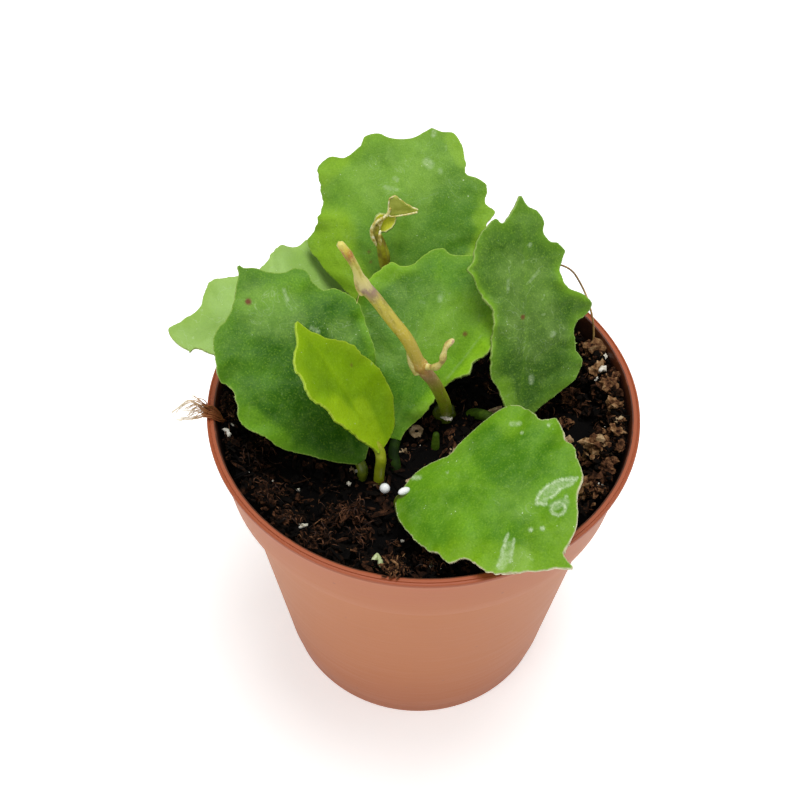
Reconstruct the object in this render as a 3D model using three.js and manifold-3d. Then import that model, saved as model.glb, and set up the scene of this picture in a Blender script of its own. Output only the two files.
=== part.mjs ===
// A young hoya in a small plastic nursery pot: seven thick, wavy-edged leaves on short stalks,
// a long bare stem, a short leafy shoot, two stubs, potting mix and strands of coir.
// Millimetres, +Z up. The origin is the centre of the pot's flat underside.

import * as THREE from 'three';
import { ParametricGeometry } from 'three/addons/geometries/ParametricGeometry.js';
import { mergeVertices } from 'three/addons/utils/BufferGeometryUtils.js';
import Module from 'manifold-3d';

const wasm = await Module();
wasm.setup();

// ---- Driving dimensions ----

const CLEARANCE = 0.35;           // gap between touching pieces

const POT_HEIGHT = 80;
const POT_RIM_RADIUS = 45;
const POT_WALL = 0.9;
const POT_FLOOR = 1.4;
const POT_FOOT_RADIUS = 31.8;
const POT_ROUND_STEPS = 60;
const LIP_HEIGHT = 1.0;
const COLLAR_TOP_RADIUS = 44.1;
const COLLAR_FOOT_RADIUS = 42.4;
const COLLAR_FOOT_HEIGHT = 64.4;
const BODY_TOP_RADIUS = 40.2;
const FOOT_RING_HEIGHT = 4.6;
const FOOT_RING_STEP = 0.5;
const RIM_EDGE_BEVEL = 0.35;
const FOOT_BEVEL = 0.4;
const WALL_STEP_SLOPE = 0.6;      // height over which the foot ring runs into the wall
const DRAIN_HOLES = 8;
const DRAIN_RADIUS = 3;
const DRAIN_CIRCLE_RADIUS = 24;

const SOIL_LEVEL = 70.6;
const SOIL_ROUND_STEPS = 40;
const SOIL_RINGS = 9;
const CRUMB_COUNT = 22;
const CRUMB_SEED = 20;
const CRUMB_REACH = 38;           // how far from the middle the bark crumbs lie
const ROOT_DEPTH = 8;             // how far a stalk runs on below the soil

const BLADE_STATIONS = 36;        // rows of the leaf surface, base to tip
const BLADE_THICKNESS = 1.1;
const EDGE_THICKNESS = 0.75;
const STALK_SIDES = 8;

// ---- Materials ----

const paint = (color, roughness) => new THREE.MeshStandardMaterial({ color, roughness, metalness: 0 });
const terracotta = paint('#c4836a', 0.55);
const pottingMix = paint('#2c1d15', 0.95);
const leafGreen = paint('#5c9438', 0.5);
const paleGreen = paint('#8cb662', 0.5);
const youngGreen = paint('#7fae1a', 0.5);
const stemOlive = paint('#b3a84e', 0.6);
const stubGreen = paint('#3f5a1c', 0.55);
const coirBrown = paint('#8a5a3c', 0.9);

// ---- Solids ----

// Keeps only positions, joins equal corners and drops triangles with no area.
function bare(geometry) {
  geometry.deleteAttribute('normal');
  geometry.deleteAttribute('uv');
  const merged = mergeVertices(geometry, 1e-4);
  const index = merged.index.array;
  const kept = [];
  for (let k = 0; k < index.length; k += 3) {
    const [a, b, c] = [index[k], index[k + 1], index[k + 2]];
    if (a !== b && b !== c && c !== a) kept.push(a, b, c);
  }
  merged.setIndex(kept);
  return outward(merged);
}

// Turns a closed surface round if its faces point inwards.
function outward(geometry) {
  const position = geometry.attributes.position;
  const index = geometry.index.array;
  const [a, b, c] = [new THREE.Vector3(), new THREE.Vector3(), new THREE.Vector3()];
  let volume = 0;
  for (let k = 0; k < index.length; k += 3) {
    a.fromBufferAttribute(position, index[k]);
    b.fromBufferAttribute(position, index[k + 1]);
    c.fromBufferAttribute(position, index[k + 2]);
    volume += a.dot(b.cross(c));
  }
  if (volume < 0) {
    for (let k = 0; k < index.length; k += 3) {
      [index[k], index[k + 1]] = [index[k + 1], index[k]];
    }
  }
  return geometry;
}

function solid(geometry) {
  return new wasm.Manifold(new wasm.Mesh({
    numProp: 3,
    vertProperties: new Float32Array(geometry.attributes.position.array),
    triVerts: new Uint32Array(geometry.index.array),
  }));
}

const joined = (solids) => solids.reduce((whole, next) => whole.add(next));

function node(name, body, material) {
  const mesh = body.getMesh();
  const geometry = new THREE.BufferGeometry();
  geometry.setAttribute('position', new THREE.BufferAttribute(new Float32Array(mesh.vertProperties), 3));
  geometry.setIndex(new THREE.BufferAttribute(new Uint32Array(mesh.triVerts), 1));
  geometry.computeVertexNormals();
  const piece = new THREE.Mesh(geometry, material);
  piece.name = name;
  return piece;
}

// A closed skin of rows of points: place(row, k) gives point k of a row. The first and last
// rows are each a single point.
function closedSkin(place, around, rows) {
  const nearest = (share, count) => Math.min(Math.max(Math.round(share * count), 0), count);
  const sample = (u, v, target) => {
    target.copy(place(nearest(v, rows), nearest(u, around) % around));
  };
  return bare(new ParametricGeometry(sample, around, rows));
}

const vector = ([x, y, z]) => new THREE.Vector3(x, y, z);
const smoothCurve = (points) => new THREE.CatmullRomCurve3(points, false, 'centripetal');

// A round rod along a smooth route, with a radius that changes from 0 (start) to 1 (end).
function rod(points, radiusAt, steps, sides = STALK_SIDES) {
  const route = smoothCurve(points.map(vector));
  const frames = route.computeFrenetFrames(steps, false);
  const place = (row, k) => {
    const step = Math.min(Math.max(row - 1, 0), steps);
    const centre = route.getPointAt(step / steps);
    if (row === 0 || row === steps + 2) return centre;
    const angle = (2 * Math.PI * k) / sides;
    const radius = radiusAt(step / steps);
    return centre
      .addScaledVector(frames.normals[step], radius * Math.cos(angle))
      .addScaledVector(frames.binormals[step], radius * Math.sin(angle));
  };
  return solid(closedSkin(place, sides, steps + 2));
}

const taper = (from, to) => (share) => from + (to - from) * share;

// The hole a rod stands in: its route from the root up, wider and deeper by the clearance.
function hole([[x, y, root], ...rest], radius) {
  return rod([[x, y, root - CLEARANCE], ...rest], () => radius + CLEARANCE, 10);
}

// ---- Pot ----

function potWallRadius(height) {
  if (height >= COLLAR_FOOT_HEIGHT) {
    const share = (height - COLLAR_FOOT_HEIGHT) / (POT_HEIGHT - COLLAR_FOOT_HEIGHT);
    return COLLAR_FOOT_RADIUS + (COLLAR_TOP_RADIUS - COLLAR_FOOT_RADIUS) * share;
  }
  return POT_FOOT_RADIUS + (BODY_TOP_RADIUS - POT_FOOT_RADIUS) * (height / COLLAR_FOOT_HEIGHT);
}

function pot() {
  const inner = (height) => potWallRadius(height) - POT_WALL;
  const collarFloor = COLLAR_FOOT_HEIGHT + POT_WALL;
  const ringTop = FOOT_RING_HEIGHT + WALL_STEP_SLOPE;
  const profile = [
    [0, 0],
    [POT_FOOT_RADIUS - 2 * FOOT_BEVEL, 0],
    [POT_FOOT_RADIUS - FOOT_BEVEL, FOOT_BEVEL],
    [potWallRadius(FOOT_RING_HEIGHT) - FOOT_RING_STEP, FOOT_RING_HEIGHT],
    [potWallRadius(ringTop), ringTop],
    [BODY_TOP_RADIUS, COLLAR_FOOT_HEIGHT - 0.01],
    [COLLAR_FOOT_RADIUS - FOOT_BEVEL, COLLAR_FOOT_HEIGHT],
    [COLLAR_FOOT_RADIUS, COLLAR_FOOT_HEIGHT + FOOT_BEVEL],
    [COLLAR_TOP_RADIUS, POT_HEIGHT - LIP_HEIGHT],
    [POT_RIM_RADIUS, POT_HEIGHT - LIP_HEIGHT],
    [POT_RIM_RADIUS, POT_HEIGHT - RIM_EDGE_BEVEL],
    [POT_RIM_RADIUS - RIM_EDGE_BEVEL, POT_HEIGHT],
    [inner(POT_HEIGHT) + RIM_EDGE_BEVEL, POT_HEIGHT],
    [inner(POT_HEIGHT), POT_HEIGHT - RIM_EDGE_BEVEL],
    [inner(collarFloor), collarFloor],
    [BODY_TOP_RADIUS - POT_WALL, collarFloor - 0.01],
    [inner(ringTop), ringTop],
    [inner(FOOT_RING_HEIGHT) - FOOT_RING_STEP, FOOT_RING_HEIGHT],
    [inner(0) - FOOT_BEVEL, POT_FLOOR],
    [0, POT_FLOOR],
  ].map(([radius, height]) => new THREE.Vector2(radius, height));
  const turned = new THREE.LatheGeometry(profile, POT_ROUND_STEPS).rotateX(Math.PI / 2);
  let body = solid(bare(turned));
  for (let k = 0; k < DRAIN_HOLES; k += 1) {
    const angle = (2 * Math.PI * (k + 0.5)) / DRAIN_HOLES;
    const cutter = new THREE.CylinderGeometry(DRAIN_RADIUS, DRAIN_RADIUS, 3 * POT_FLOOR, 16)
      .rotateX(Math.PI / 2)
      .translate(DRAIN_CIRCLE_RADIUS * Math.cos(angle), DRAIN_CIRCLE_RADIUS * Math.sin(angle), 0);
    body = body.subtract(solid(bare(cutter)));
  }
  return body;
}

// ---- Leaves ----
//
// A leaf stands at its base point. Its midrib runs `heading` degrees from +Y towards +X and
// rises `rise` degrees, and `roll` lifts its right-hand side. Each margin lists the tips of its
// teeth and the bays between them, as [along the midrib, out from it]. `arch` bends the blade
// along its length, `cup` lifts its sides 20 mm out, `bow` carries the midrib sideways, and
// `ripple` waves the margin. The stalk goes through `stalk` to `foot` in the soil.

const LEAVES = {
  leaf_back: {
    base: [-8.1, 17.9, 77], heading: 15, rise: 39.6, roll: 0, length: 48.6, material: leafGreen,
    arch: 2, cup: -2, bow: -2, ripple: 0.5,
    left: [[2.5, 3.4], [6.5, 6.8], [9.2, 10.4], [11.9, 14.6], [14.8, 18.5], [18.6, 22.4],
      [22.7, 21.2], [27.5, 20.7], [32.3, 22.5], [36, 23.6], [38.6, 21.7], [38.9, 18.3],
      [41.6, 15.4], [44.2, 14.4], [45.4, 11.7], [44.8, 8.5], [45.5, 4.2], [47.5, 1.5]],
    right: [[4, 4], [9, 7.5], [13.6, 9.8], [18.5, 12.8], [24, 15], [30.2, 16.4], [33.2, 17.3],
      [34.4, 15], [38.3, 14.6], [39.5, 12.2], [40, 9.6], [42.5, 8.8], [46, 7.2], [48.4, 4.8],
      [48.2, 2.2]],
    stalk: [[-9.4, 14.8, 74.6]], foot: [-10, 13.4], stalkRadius: 1.3,
  },
  leaf_back_left: {
    base: [-12.7, 27.9, 75], heading: -117, rise: 12.3, roll: 24, length: 42.2, material: paleGreen,
    arch: 3, cup: -2, bow: 6, ripple: 0.4,
    left: [[4, 5], [9, 9.5], [16, 11.5], [23, 10.5], [29, 8], [34, 4.5], [38.5, 1.4], [40.6, -0.3]],
    right: [[1.5, 7], [3, 15], [7.2, 21.2], [10.5, 19.9], [13.9, 20.8], [17.5, 18.5], [21, 15.7],
      [26.5, 14.3], [32.7, 14.8], [35.3, 12], [37.5, 8.8], [42, 7], [44.7, 6.2], [44.7, 4],
      [43.3, 1.4]],
    stalk: [[-10, 29.2, 74]], foot: [-8.6, 29.2], stalkRadius: 1.2,
  },
  leaf_front_left: {
    base: [-12.7, -12.7, 75], heading: -41, rise: 34.9, roll: 8, length: 47.2, material: leafGreen,
    arch: 2, cup: -1.5, bow: 0, ripple: 0.5,
    left: [[2.9, 4.7], [7.5, 9.3], [11.7, 13.1], [14.7, 14.2], [17.6, 16.1], [20.6, 16.8],
      [23.5, 15.6], [26.6, 14.9], [29.6, 15.9], [33.6, 14.4], [36.5, 12.9], [38.3, 10.8],
      [38.9, 8.3], [41, 5.3], [43.7, 2.8], [45.8, 0.9]],
    right: [[5, 6.3], [8.9, 9.8], [13.3, 12.5], [18.3, 14.6], [24.5, 16.4], [28, 17.2],
      [31.5, 15.9], [33.2, 14.8], [34, 12.6], [36, 11.4], [39.3, 11.4], [41, 9.6], [41.2, 7.6],
      [42.8, 4.8], [45.3, 2.4], [46.2, 0.8]],
    stalk: [[-12.4, -13.5, 73.4]], foot: [-12.6, -13.4], stalkRadius: 1.1,
  },
  leaf_young: {
    base: [-8.4, -14.2, 81], heading: -55, rise: 51.4, roll: -8, length: 32, material: youngGreen,
    arch: 1, cup: 4, bow: 0, ripple: 0.2,
    left: [[1.3, 1.5], [5.4, 3.5], [10, 5.5], [13.8, 6.8], [16, 7], [19.7, 8.7], [21.5, 8.7],
      [24.2, 7.6], [26.3, 7.4], [28.2, 5.4], [29.2, 3.1], [31.2, 1.2]],
    right: [[0.3, 3], [1.4, 5.9], [4.1, 7.7], [7.5, 9.2], [11, 9.6], [15.5, 9], [18.1, 8],
      [20.2, 7.6], [22.8, 6.2], [24.9, 3.9], [27.3, 2.3], [30, 0.8]],
    stalk: [[-7.9, -14.7, 78.6], [-8.4, -14.9, 75]], foot: [-8.9, -14.6], stalkRadius: 1.15,
  },
  leaf_middle: {
    base: [-5.8, -5.4, 73.3], heading: 17, rise: 36, roll: -3, length: 41.6, material: leafGreen,
    arch: 1.5, cup: 1, bow: 0, ripple: 0.4,
    left: [[3.3, 4.1], [7.9, 7.3], [13.6, 10.5], [19.4, 13.2], [24, 14.8], [28, 14.9],
      [32.6, 12.9], [34.7, 11.1], [36.1, 9.8], [35.7, 7.8], [36.7, 5.5], [39.2, 3.7], [41, 1.9]],
    right: [[2.1, 1.7], [6.8, 4.9], [13, 7.6], [15, 9.3], [17.1, 12], [19.6, 12.3], [21.2, 14.3],
      [25.2, 15.2], [29.5, 14.4], [34, 13.8], [38.9, 13], [41.2, 10.3], [41.7, 7], [40.9, 3.5],
      [40.8, 1.4]],
    stalk: [[-6.1, -7.6, 71.8]], foot: [-5.6, -10.8], stalkRadius: 1.15,
  },
  leaf_right: {
    base: [19.4, -5.2, 76], heading: 0, rise: 44.3, roll: -18, length: 48.7, material: leafGreen,
    arch: 1, cup: -1.5, bow: 1.5, ripple: 0.4,
    left: [[1.5, 1.3], [5.3, 2.7], [9.1, 4.4], [11.6, 6], [15, 6.3], [21.3, 6.2], [25.3, 6.3],
      [27.4, 8], [30, 9.7], [32.4, 11], [33.4, 11.9], [35.2, 10.5], [38.1, 9.9], [40.8, 8.6],
      [43.9, 5.5], [43, 4.2], [44.5, 2.6], [46.9, 1]],
    right: [[1.9, 2.2], [5.1, 5.3], [8, 9.4], [11.7, 13.8], [14.5, 14.8], [17.2, 13.2],
      [19.7, 12.5], [22.7, 13.2], [24.6, 15.8], [26.6, 16.7], [28.6, 14.6], [30.2, 10.5],
      [32.4, 9], [35.6, 9.4], [37.5, 10], [39.3, 8.3], [39.6, 6.5], [41.5, 5.2], [43.7, 5.3],
      [45.7, 3.8], [46.7, 1.6]],
    stalk: [[19.4, -7.2, 74]], foot: [19.2, -8.6], stalkRadius: 1.2,
  },
  leaf_front_right: {
    base: [-5.1, -23.4, 77.5], heading: 124.3, rise: 13.9, roll: -20, length: 39.4,
    material: leafGreen, arch: 1.5, cup: -1, bow: -8.5, ripple: 0.4,
    left: [[0, 3], [0.8, 6], [3.1, 9.3], [5.9, 11.8], [6.6, 15], [9, 21], [12, 25.5], [15.2, 26.8],
      [18.8, 25.6], [20.3, 25.2], [22.2, 26.6], [25.2, 24.6], [26.8, 22.6], [28.6, 22.3],
      [30.8, 19.9], [33.3, 17], [34, 13.5], [35.6, 10.4], [36.8, 7.2], [36.9, 3.8], [36.8, 1.8],
      [38, 0.8]],
    right: [[0.8, 2.2], [2.8, 4.1], [6.9, 6.1], [11.5, 7.6], [14.6, 7.6], [16.6, 8.3], [18.4, 8.2],
      [20, 6.7], [22.5, 6.6], [25.5, 7.1], [29, 6.1], [33, 4], [36.5, 1.5], [38.3, 0.7]],
    stalk: [[-4.6, -23.6, 74.6]], foot: [-4, -23.9], stalkRadius: 1.15,
  },
};

const NECK_HALF_WIDTH = 1.1;      // half the blade's width where its stalk meets it
const TIP_HALF_WIDTH = 0.25;
const ACROSS = [-1, -0.55, 0, 0.55, 1];
const RIPPLE_WAVES = 5;

// The leaf's own directions: along its midrib, to its right, and out of its upper face.
function leafAxes({ heading, rise, roll }) {
  const [turn, lift, bank] = [heading, rise, roll].map(THREE.MathUtils.degToRad);
  const along = new THREE.Vector3(
    Math.sin(turn) * Math.cos(lift), Math.cos(turn) * Math.cos(lift), Math.sin(lift));
  const level = new THREE.Vector3(Math.cos(turn), -Math.sin(turn), 0);
  const upright = level.clone().cross(along);
  const right = level.clone().multiplyScalar(Math.cos(bank)).addScaledVector(upright, Math.sin(bank));
  const up = upright.multiplyScalar(Math.cos(bank)).addScaledVector(level, -Math.sin(bank));
  return { along, right, up };
}

// A point over the leaf's own plane: `s` along the midrib, `t` to the right, `lift` above the blade.
function leafPoint(leaf, axes, s, t, lift) {
  const { length, arch = 0, cup = 0 } = leaf;
  const height = (4 * arch * s * (length - s)) / length ** 2 + cup * (t / 20) ** 2;
  return vector(leaf.base)
    .addScaledVector(axes.along, s)
    .addScaledVector(axes.right, t)
    .addScaledVector(axes.up, height + lift);
}

function blade(leaf) {
  const axes = leafAxes(leaf);
  const { length, bow = 0, ripple = 0, thickness = BLADE_THICKNESS } = leaf;
  const neck = leaf.neck ?? NECK_HALF_WIDTH;
  const stations = leaf.stations ?? BLADE_STATIONS;
  const margin = (side, points) => smoothCurve([[0, neck], ...points, [length, TIP_HALF_WIDTH]]
    .map(([s, out]) => new THREE.Vector3(s, side * out, 0)));
  const left = margin(-1, leaf.left);
  const right = margin(1, leaf.right);
  const rib = (share) => {
    const s = length * ((1 - Math.cos(Math.PI * share)) / 2) ** 1.25;
    return new THREE.Vector3(s, (4 * bow * s * (length - s)) / length ** 2, 0);
  };
  const facePoint = (share, across, under) => {
    const edge = (across < 0 ? left : right).getPointAt(share);
    const { x: s, y: t } = rib(share).lerp(edge, Math.abs(across));
    const wave = ripple * across ** 2 * Math.sin(2 * Math.PI * (RIPPLE_WAVES * share + across / 4));
    const depth = under ? thickness + (Math.min(EDGE_THICKNESS, thickness) - thickness) * across ** 2 : 0;
    return leafPoint(leaf, axes, s, t, wave * Math.sin(Math.PI * share) - depth);
  };
  const around = [
    ...ACROSS.map((across) => [across, false]),
    ...[...ACROSS].reverse().map((across) => [across, true]),
  ];
  const place = (row, k) => {
    const share = Math.min(Math.max(row - 1, 0), stations) / stations;
    if (row === 0 || row === stations + 2) {
      return facePoint(share, 0, false).lerp(facePoint(share, 0, true), 0.5);
    }
    return facePoint(share, ...around[k]);
  };
  return solid(closedSkin(place, around.length, stations + 2));
}

// The stalk starts as a rib under the blade, leaves it at the base and goes down into the soil.
function stalkRoute(leaf) {
  const axes = leafAxes(leaf);
  const { length, bow = 0, stalkRadius } = leaf;
  const under = (share, radius) => {
    const s = length * share;
    return leafPoint(leaf, axes, s, (4 * bow * s * (length - s)) / length ** 2, -radius).toArray();
  };
  const [x, y] = leaf.foot;
  return [
    under(0.38, 0.5), under(0.12, stalkRadius), under(0, stalkRadius),
    ...leaf.stalk, [x, y, SOIL_LEVEL], [x, y, SOIL_LEVEL - ROOT_DEPTH],
  ];
}

function stalk(leaf) {
  const { stalkRadius } = leaf;
  return rod(stalkRoute(leaf), (share) => Math.min(0.4 + 2.2 * stalkRadius * share, stalkRadius), 17, 7);
}

const stalkHole = (leaf) => hole(stalkRoute(leaf).slice(1).reverse(), leaf.stalkRadius);
const leafSolid = (leaf) => blade(leaf).add(stalk(leaf));

// ---- Stems ----

const LONG_STEM = [
  [5.2, 4, 62], [5.1, 3, 71], [4.3, -0.2, 79.6], [2.5, -3.4, 87.6], [0.4, -4.9, 94.6], [-2.1, -4.3, 99.2],
  [-6.4, -3.2, 108], [-11.1, -1.9, 115.4], [-14, -0.8, 120.2], [-16.5, 0.3, 124],
];
const LONG_STEM_RADIUS = 1.75;
const LONG_STEM_THINNING = 0.85;
const LONG_STEM_NODES = [[0.53, 0.4], [0.83, 0.45], [0.94, 0.2]];      // [share of the length, swelling]
const NODE_SPREAD = 0.022;
const LONG_STEM_COLLAR = { centre: [4.7, 2.9, 72.2], radius: 2.5 };
const SIDE_SHOOT = [
  [-1, -4.6, 97], [0, -6, 97.6], [1.4, -7, 98.6], [2.9, -6.7, 100.6], [3.5, -5.9, 102], [5, -4.9, 103.5],
];
const BACK_SHOOT = [
  [-0.8, 12, 62], [-1, 12.4, 71], [-1.8, 15.6, 79], [-4.8, 21.2, 86.5], [-8.5, 27.6, 91.8],
  [-9.3, 28.9, 95.2], [-9.9, 29.7, 98.4],
];
const BACK_STEM_RADIUS = 1.3;
const BRACT_STALK = [[-9.7, 30.3, 97], [-8.9, 31.2, 100.8], [-7.6, 31.9, 102.8], [-7.2, 32.4, 104.6]];
const STUB = [[8.6, 5.4, 65], [10.9, 3.8, 70.6], [13, 2, 72.6], [15.6, 0.4, 73.2]];
const STUB_RADIUS = 1.4;
const BUD = [[3, -5.8, 64], [2.7, -5.3, 70], [2.8, -4.4, 74.6]];
const BUD_RADIUS = 1.2;
const BUD_TIP_RADIUS = 0.5;

const CURLED_LEAF = {
  base: [-9.7, 30.2, 98.4], heading: 68, rise: 28, roll: -45, length: 4.8, neck: 0.6, thickness: 0.9,
  cup: 40, stations: 6,
  left: [[0.2, 1.3], [1.2, 2.3], [2.6, 2.4], [4, 1.4]], right: [[0.6, 1], [2, 1.4], [3.7, 1]],
};
const BRACT = {
  base: [-7.6, 31.9, 102.6], heading: 82, rise: 2, roll: -75, length: 6.2, neck: 0.4, thickness: 0.6,
  stations: 8,
  left: [[0.1, 2.2], [0.3, 3.6], [1.4, 4], [2.8, 2.9], [4.8, 1]], right: [[2, 0.4], [4, 0.4]],
};

function longStemRadius(share) {
  return LONG_STEM_NODES.reduce(
    (radius, [at, swelling]) => radius + swelling * Math.exp(-(((share - at) / NODE_SPREAD) ** 2)),
    LONG_STEM_RADIUS - LONG_STEM_THINNING * share);
}

const ball = (centre, radius) => solid(bare(new THREE.IcosahedronGeometry(radius, 1).translate(...centre)));
const collar = (extra) => ball(LONG_STEM_COLLAR.centre, LONG_STEM_COLLAR.radius + extra);
const longStem = () => joined([
  rod(LONG_STEM, longStemRadius, 38),
  collar(0),
  rod(SIDE_SHOOT, taper(1, 0.75), 8, 7),
]);
const backShoot = () => joined([
  rod(BACK_SHOOT, taper(BACK_STEM_RADIUS, 1), 14, 7),
  rod(BRACT_STALK, taper(0.7, 0.45), 5, 6),
  blade(CURLED_LEAF),
  blade(BRACT),
]);
const stub = () => rod(STUB, taper(STUB_RADIUS, 1.1), 8);
const bud = () => rod(BUD, (share) => BUD_TIP_RADIUS + (BUD_RADIUS - BUD_TIP_RADIUS) * Math.sqrt(1 - share), 7);

// ---- Coir ----

const TUFT_KNOT = [-43.8, -3.9, 81.5];
const TUFT_KNOT_RADIUS = 1.1;
const TUFT_ROOT = [[-39.8, -2.4, 67], [-40.2, -2.6, 71], [-41.6, -3.1, 77.6], [-42.6, -3.5, 80.4], TUFT_KNOT];
const TUFT_ENDS = [
  [-51.4, -6.3, 82], [-51.5, -5.6, 80.9], [-47.4, -5.4, 84], [-48.8, -7.6, 81.4], [-48, -2.6, 82.8],
  [-49.8, -4.2, 83.6],
];
const STRAND = [
  [34.6, 19.6, 67], [34.8, 19.9, 71], [35.2, 20.9, 78.5], [36.4, 23.2, 83.5], [34.4, 26.2, 88.5],
  [29.6, 26, 94], [27, 24.5, 96],
];
const STRAND_RADIUS = 0.35;
const TUFT_RADIUS = 0.5;

function tuftStrand(end, k) {
  const middle = vector(TUFT_KNOT).lerp(vector(end), 0.5);
  return rod([TUFT_KNOT, [middle.x, middle.y, middle.z + 0.5 + 0.2 * (k % 3)], end], taper(0.38, 0.28), 6, 5);
}

const tuft = () => joined([
  rod(TUFT_ROOT, () => TUFT_RADIUS, 9, 6),
  ball(TUFT_KNOT, TUFT_KNOT_RADIUS),
  ...TUFT_ENDS.map(tuftStrand),
]);
const strand = () => rod(STRAND, () => STRAND_RADIUS, 18, 5);

// ---- Potting mix ----

// Hummocks and hollows of the surface: [x, y, height, spread].
const HUMMOCKS = [
  [-6, -36.5, 4.2, 5], [-30, -24, 1.6, 8], [30, 3, 2.2, 7], [36, 17, 1.8, 6], [-37, -6, 2.4, 6],
  [12, 30, -1.8, 12], [36, 26, -2.5, 8], [2, -10, -1.2, 9], [20, -34, 1.2, 9], [-22, 30, -1.5, 10],
];
// Pale perlite grains: [x, y, radius].
const PERLITE = [
  [-39, -3.8, 1.1], [-38.4, -0.6, 0.6], [-24.8, -26.8, 0.8], [0.7, -33, 1.1], [-7.8, -18.6, 1.2],
  [-10, -34.6, 0.8], [31.6, 9.2, 1], [6, -9.4, 0.8], [-16, -31, 0.7], [33, -20, 0.9], [14, 22, 1],
];

const soilHeight = (x, y) => SOIL_LEVEL
  + 0.5 * Math.sin(0.42 * x + 1.3) * Math.cos(0.37 * y)
  + 0.35 * Math.sin(0.83 * x - 0.61 * y)
  + HUMMOCKS.reduce((sum, [cx, cy, height, spread]) => (
    sum + height * Math.exp(-((x - cx) ** 2 + (y - cy) ** 2) / spread ** 2)), 0);

// A mulberry32 generator: the same sequence of draws on every run.
function seededDraw(seed) {
  let state = seed;
  return () => {
    state = (state + 0x6d2b79f5) | 0;
    let mixed = Math.imul(state ^ (state >>> 15), 1 | state);
    mixed = (mixed + Math.imul(mixed ^ (mixed >>> 7), 61 | mixed)) ^ mixed;
    return ((mixed ^ (mixed >>> 14)) >>> 0) / 4294967296;
  };
}

function soilBody() {
  const gap = POT_WALL + CLEARANCE;
  const edge = potWallRadius(SOIL_LEVEL) - gap - 0.2;
  const shelf = COLLAR_FOOT_HEIGHT + POT_WALL + CLEARANCE;
  const below = [
    [potWallRadius(shelf) - gap, shelf],
    [BODY_TOP_RADIUS - gap, shelf],
    [BODY_TOP_RADIUS - gap - 0.3, COLLAR_FOOT_HEIGHT - 2],
    [potWallRadius(FOOT_RING_HEIGHT) - gap - FOOT_RING_STEP - 0.4, FOOT_RING_HEIGHT],
    [POT_FOOT_RADIUS - gap - 1.2, POT_FLOOR + CLEARANCE],
  ];
  const rows = SOIL_RINGS + below.length + 1;
  const place = (row, k) => {
    const angle = (2 * Math.PI * k) / SOIL_ROUND_STEPS;
    if (row === rows) return new THREE.Vector3(0, 0, POT_FLOOR + CLEARANCE);
    if (row > SOIL_RINGS) {
      const [radius, height] = below[row - SOIL_RINGS - 1];
      return new THREE.Vector3(radius * Math.cos(angle), radius * Math.sin(angle), height);
    }
    const radius = (edge * row) / SOIL_RINGS;
    const [x, y] = [radius * Math.cos(angle), radius * Math.sin(angle)];
    return new THREE.Vector3(x, y, soilHeight(x, y));
  };
  return solid(closedSkin(place, SOIL_ROUND_STEPS, rows));
}

function crumb(x, y, radius, draw) {
  const lump = new THREE.IcosahedronGeometry(radius, 0)
    .scale(1, 0.6 + 0.4 * draw(), 0.6 + 0.3 * draw())
    .rotateX(3 * draw()).rotateY(3 * draw()).rotateZ(3 * draw())
    .translate(x, y, soilHeight(x, y) + 0.1 * radius);
  return solid(bare(lump));
}

function soil(holes) {
  const draw = seededDraw(CRUMB_SEED);
  const crumbs = [];
  for (let k = 0; k < CRUMB_COUNT; k += 1) {
    const reach = CRUMB_REACH * Math.sqrt(draw());
    const angle = 2 * Math.PI * draw();
    crumbs.push(crumb(reach * Math.cos(angle), reach * Math.sin(angle), 1 + 1.4 * draw(), draw));
  }
  for (const [x, y, radius] of PERLITE) crumbs.push(crumb(x, y, radius, draw));
  const drilled = holes.reduce((body, cutter) => body.subtract(cutter), joined([soilBody(), ...crumbs]));
  // A chip of a crumb cut loose by a hole is left out.
  return drilled.decompose().sort((a, b) => b.volume() - a.volume())[0];
}

// ---- The plant ----

const plant = new THREE.Group();
const holes = [
  ...Object.values(LEAVES).map(stalkHole),
  hole(LONG_STEM.slice(0, 4), LONG_STEM_RADIUS), collar(CLEARANCE),
  hole(BACK_SHOOT.slice(0, 4), BACK_STEM_RADIUS),
  hole(STUB, STUB_RADIUS),
  hole(BUD, BUD_RADIUS),
  hole(TUFT_ROOT, TUFT_RADIUS),
  hole(STRAND.slice(0, 4), STRAND_RADIUS),
];
plant.add(node('pot', pot(), terracotta));
plant.add(node('potting_mix', soil(holes), pottingMix));
for (const [name, leaf] of Object.entries(LEAVES)) {
  plant.add(node(name, leafSolid(leaf), leaf.material));
}
plant.add(node('stem_long', longStem(), stemOlive));
plant.add(node('shoot_back', backShoot(), stemOlive));
plant.add(node('stem_stub', stub(), stubGreen));
plant.add(node('stem_bud', bud(), stubGreen));
plant.add(node('coir_tuft', tuft(), coirBrown));
plant.add(node('coir_strand', strand(), coirBrown));

export default plant;
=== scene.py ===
# %% [markdown]
# # A young hoya in a small nursery pot
#
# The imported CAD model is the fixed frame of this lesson: a tapered plastic pot, its potting mix,
# seven thick leaves on short stalks, a bare stem, a few small shoots and some loose coir. Every
# piece here is remade finer in the same place and then given the finish of the real thing.

# %% Load the frame
import math
import random

import bmesh
import bpy
from mathutils import Matrix, Vector, kdtree, noise


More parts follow.
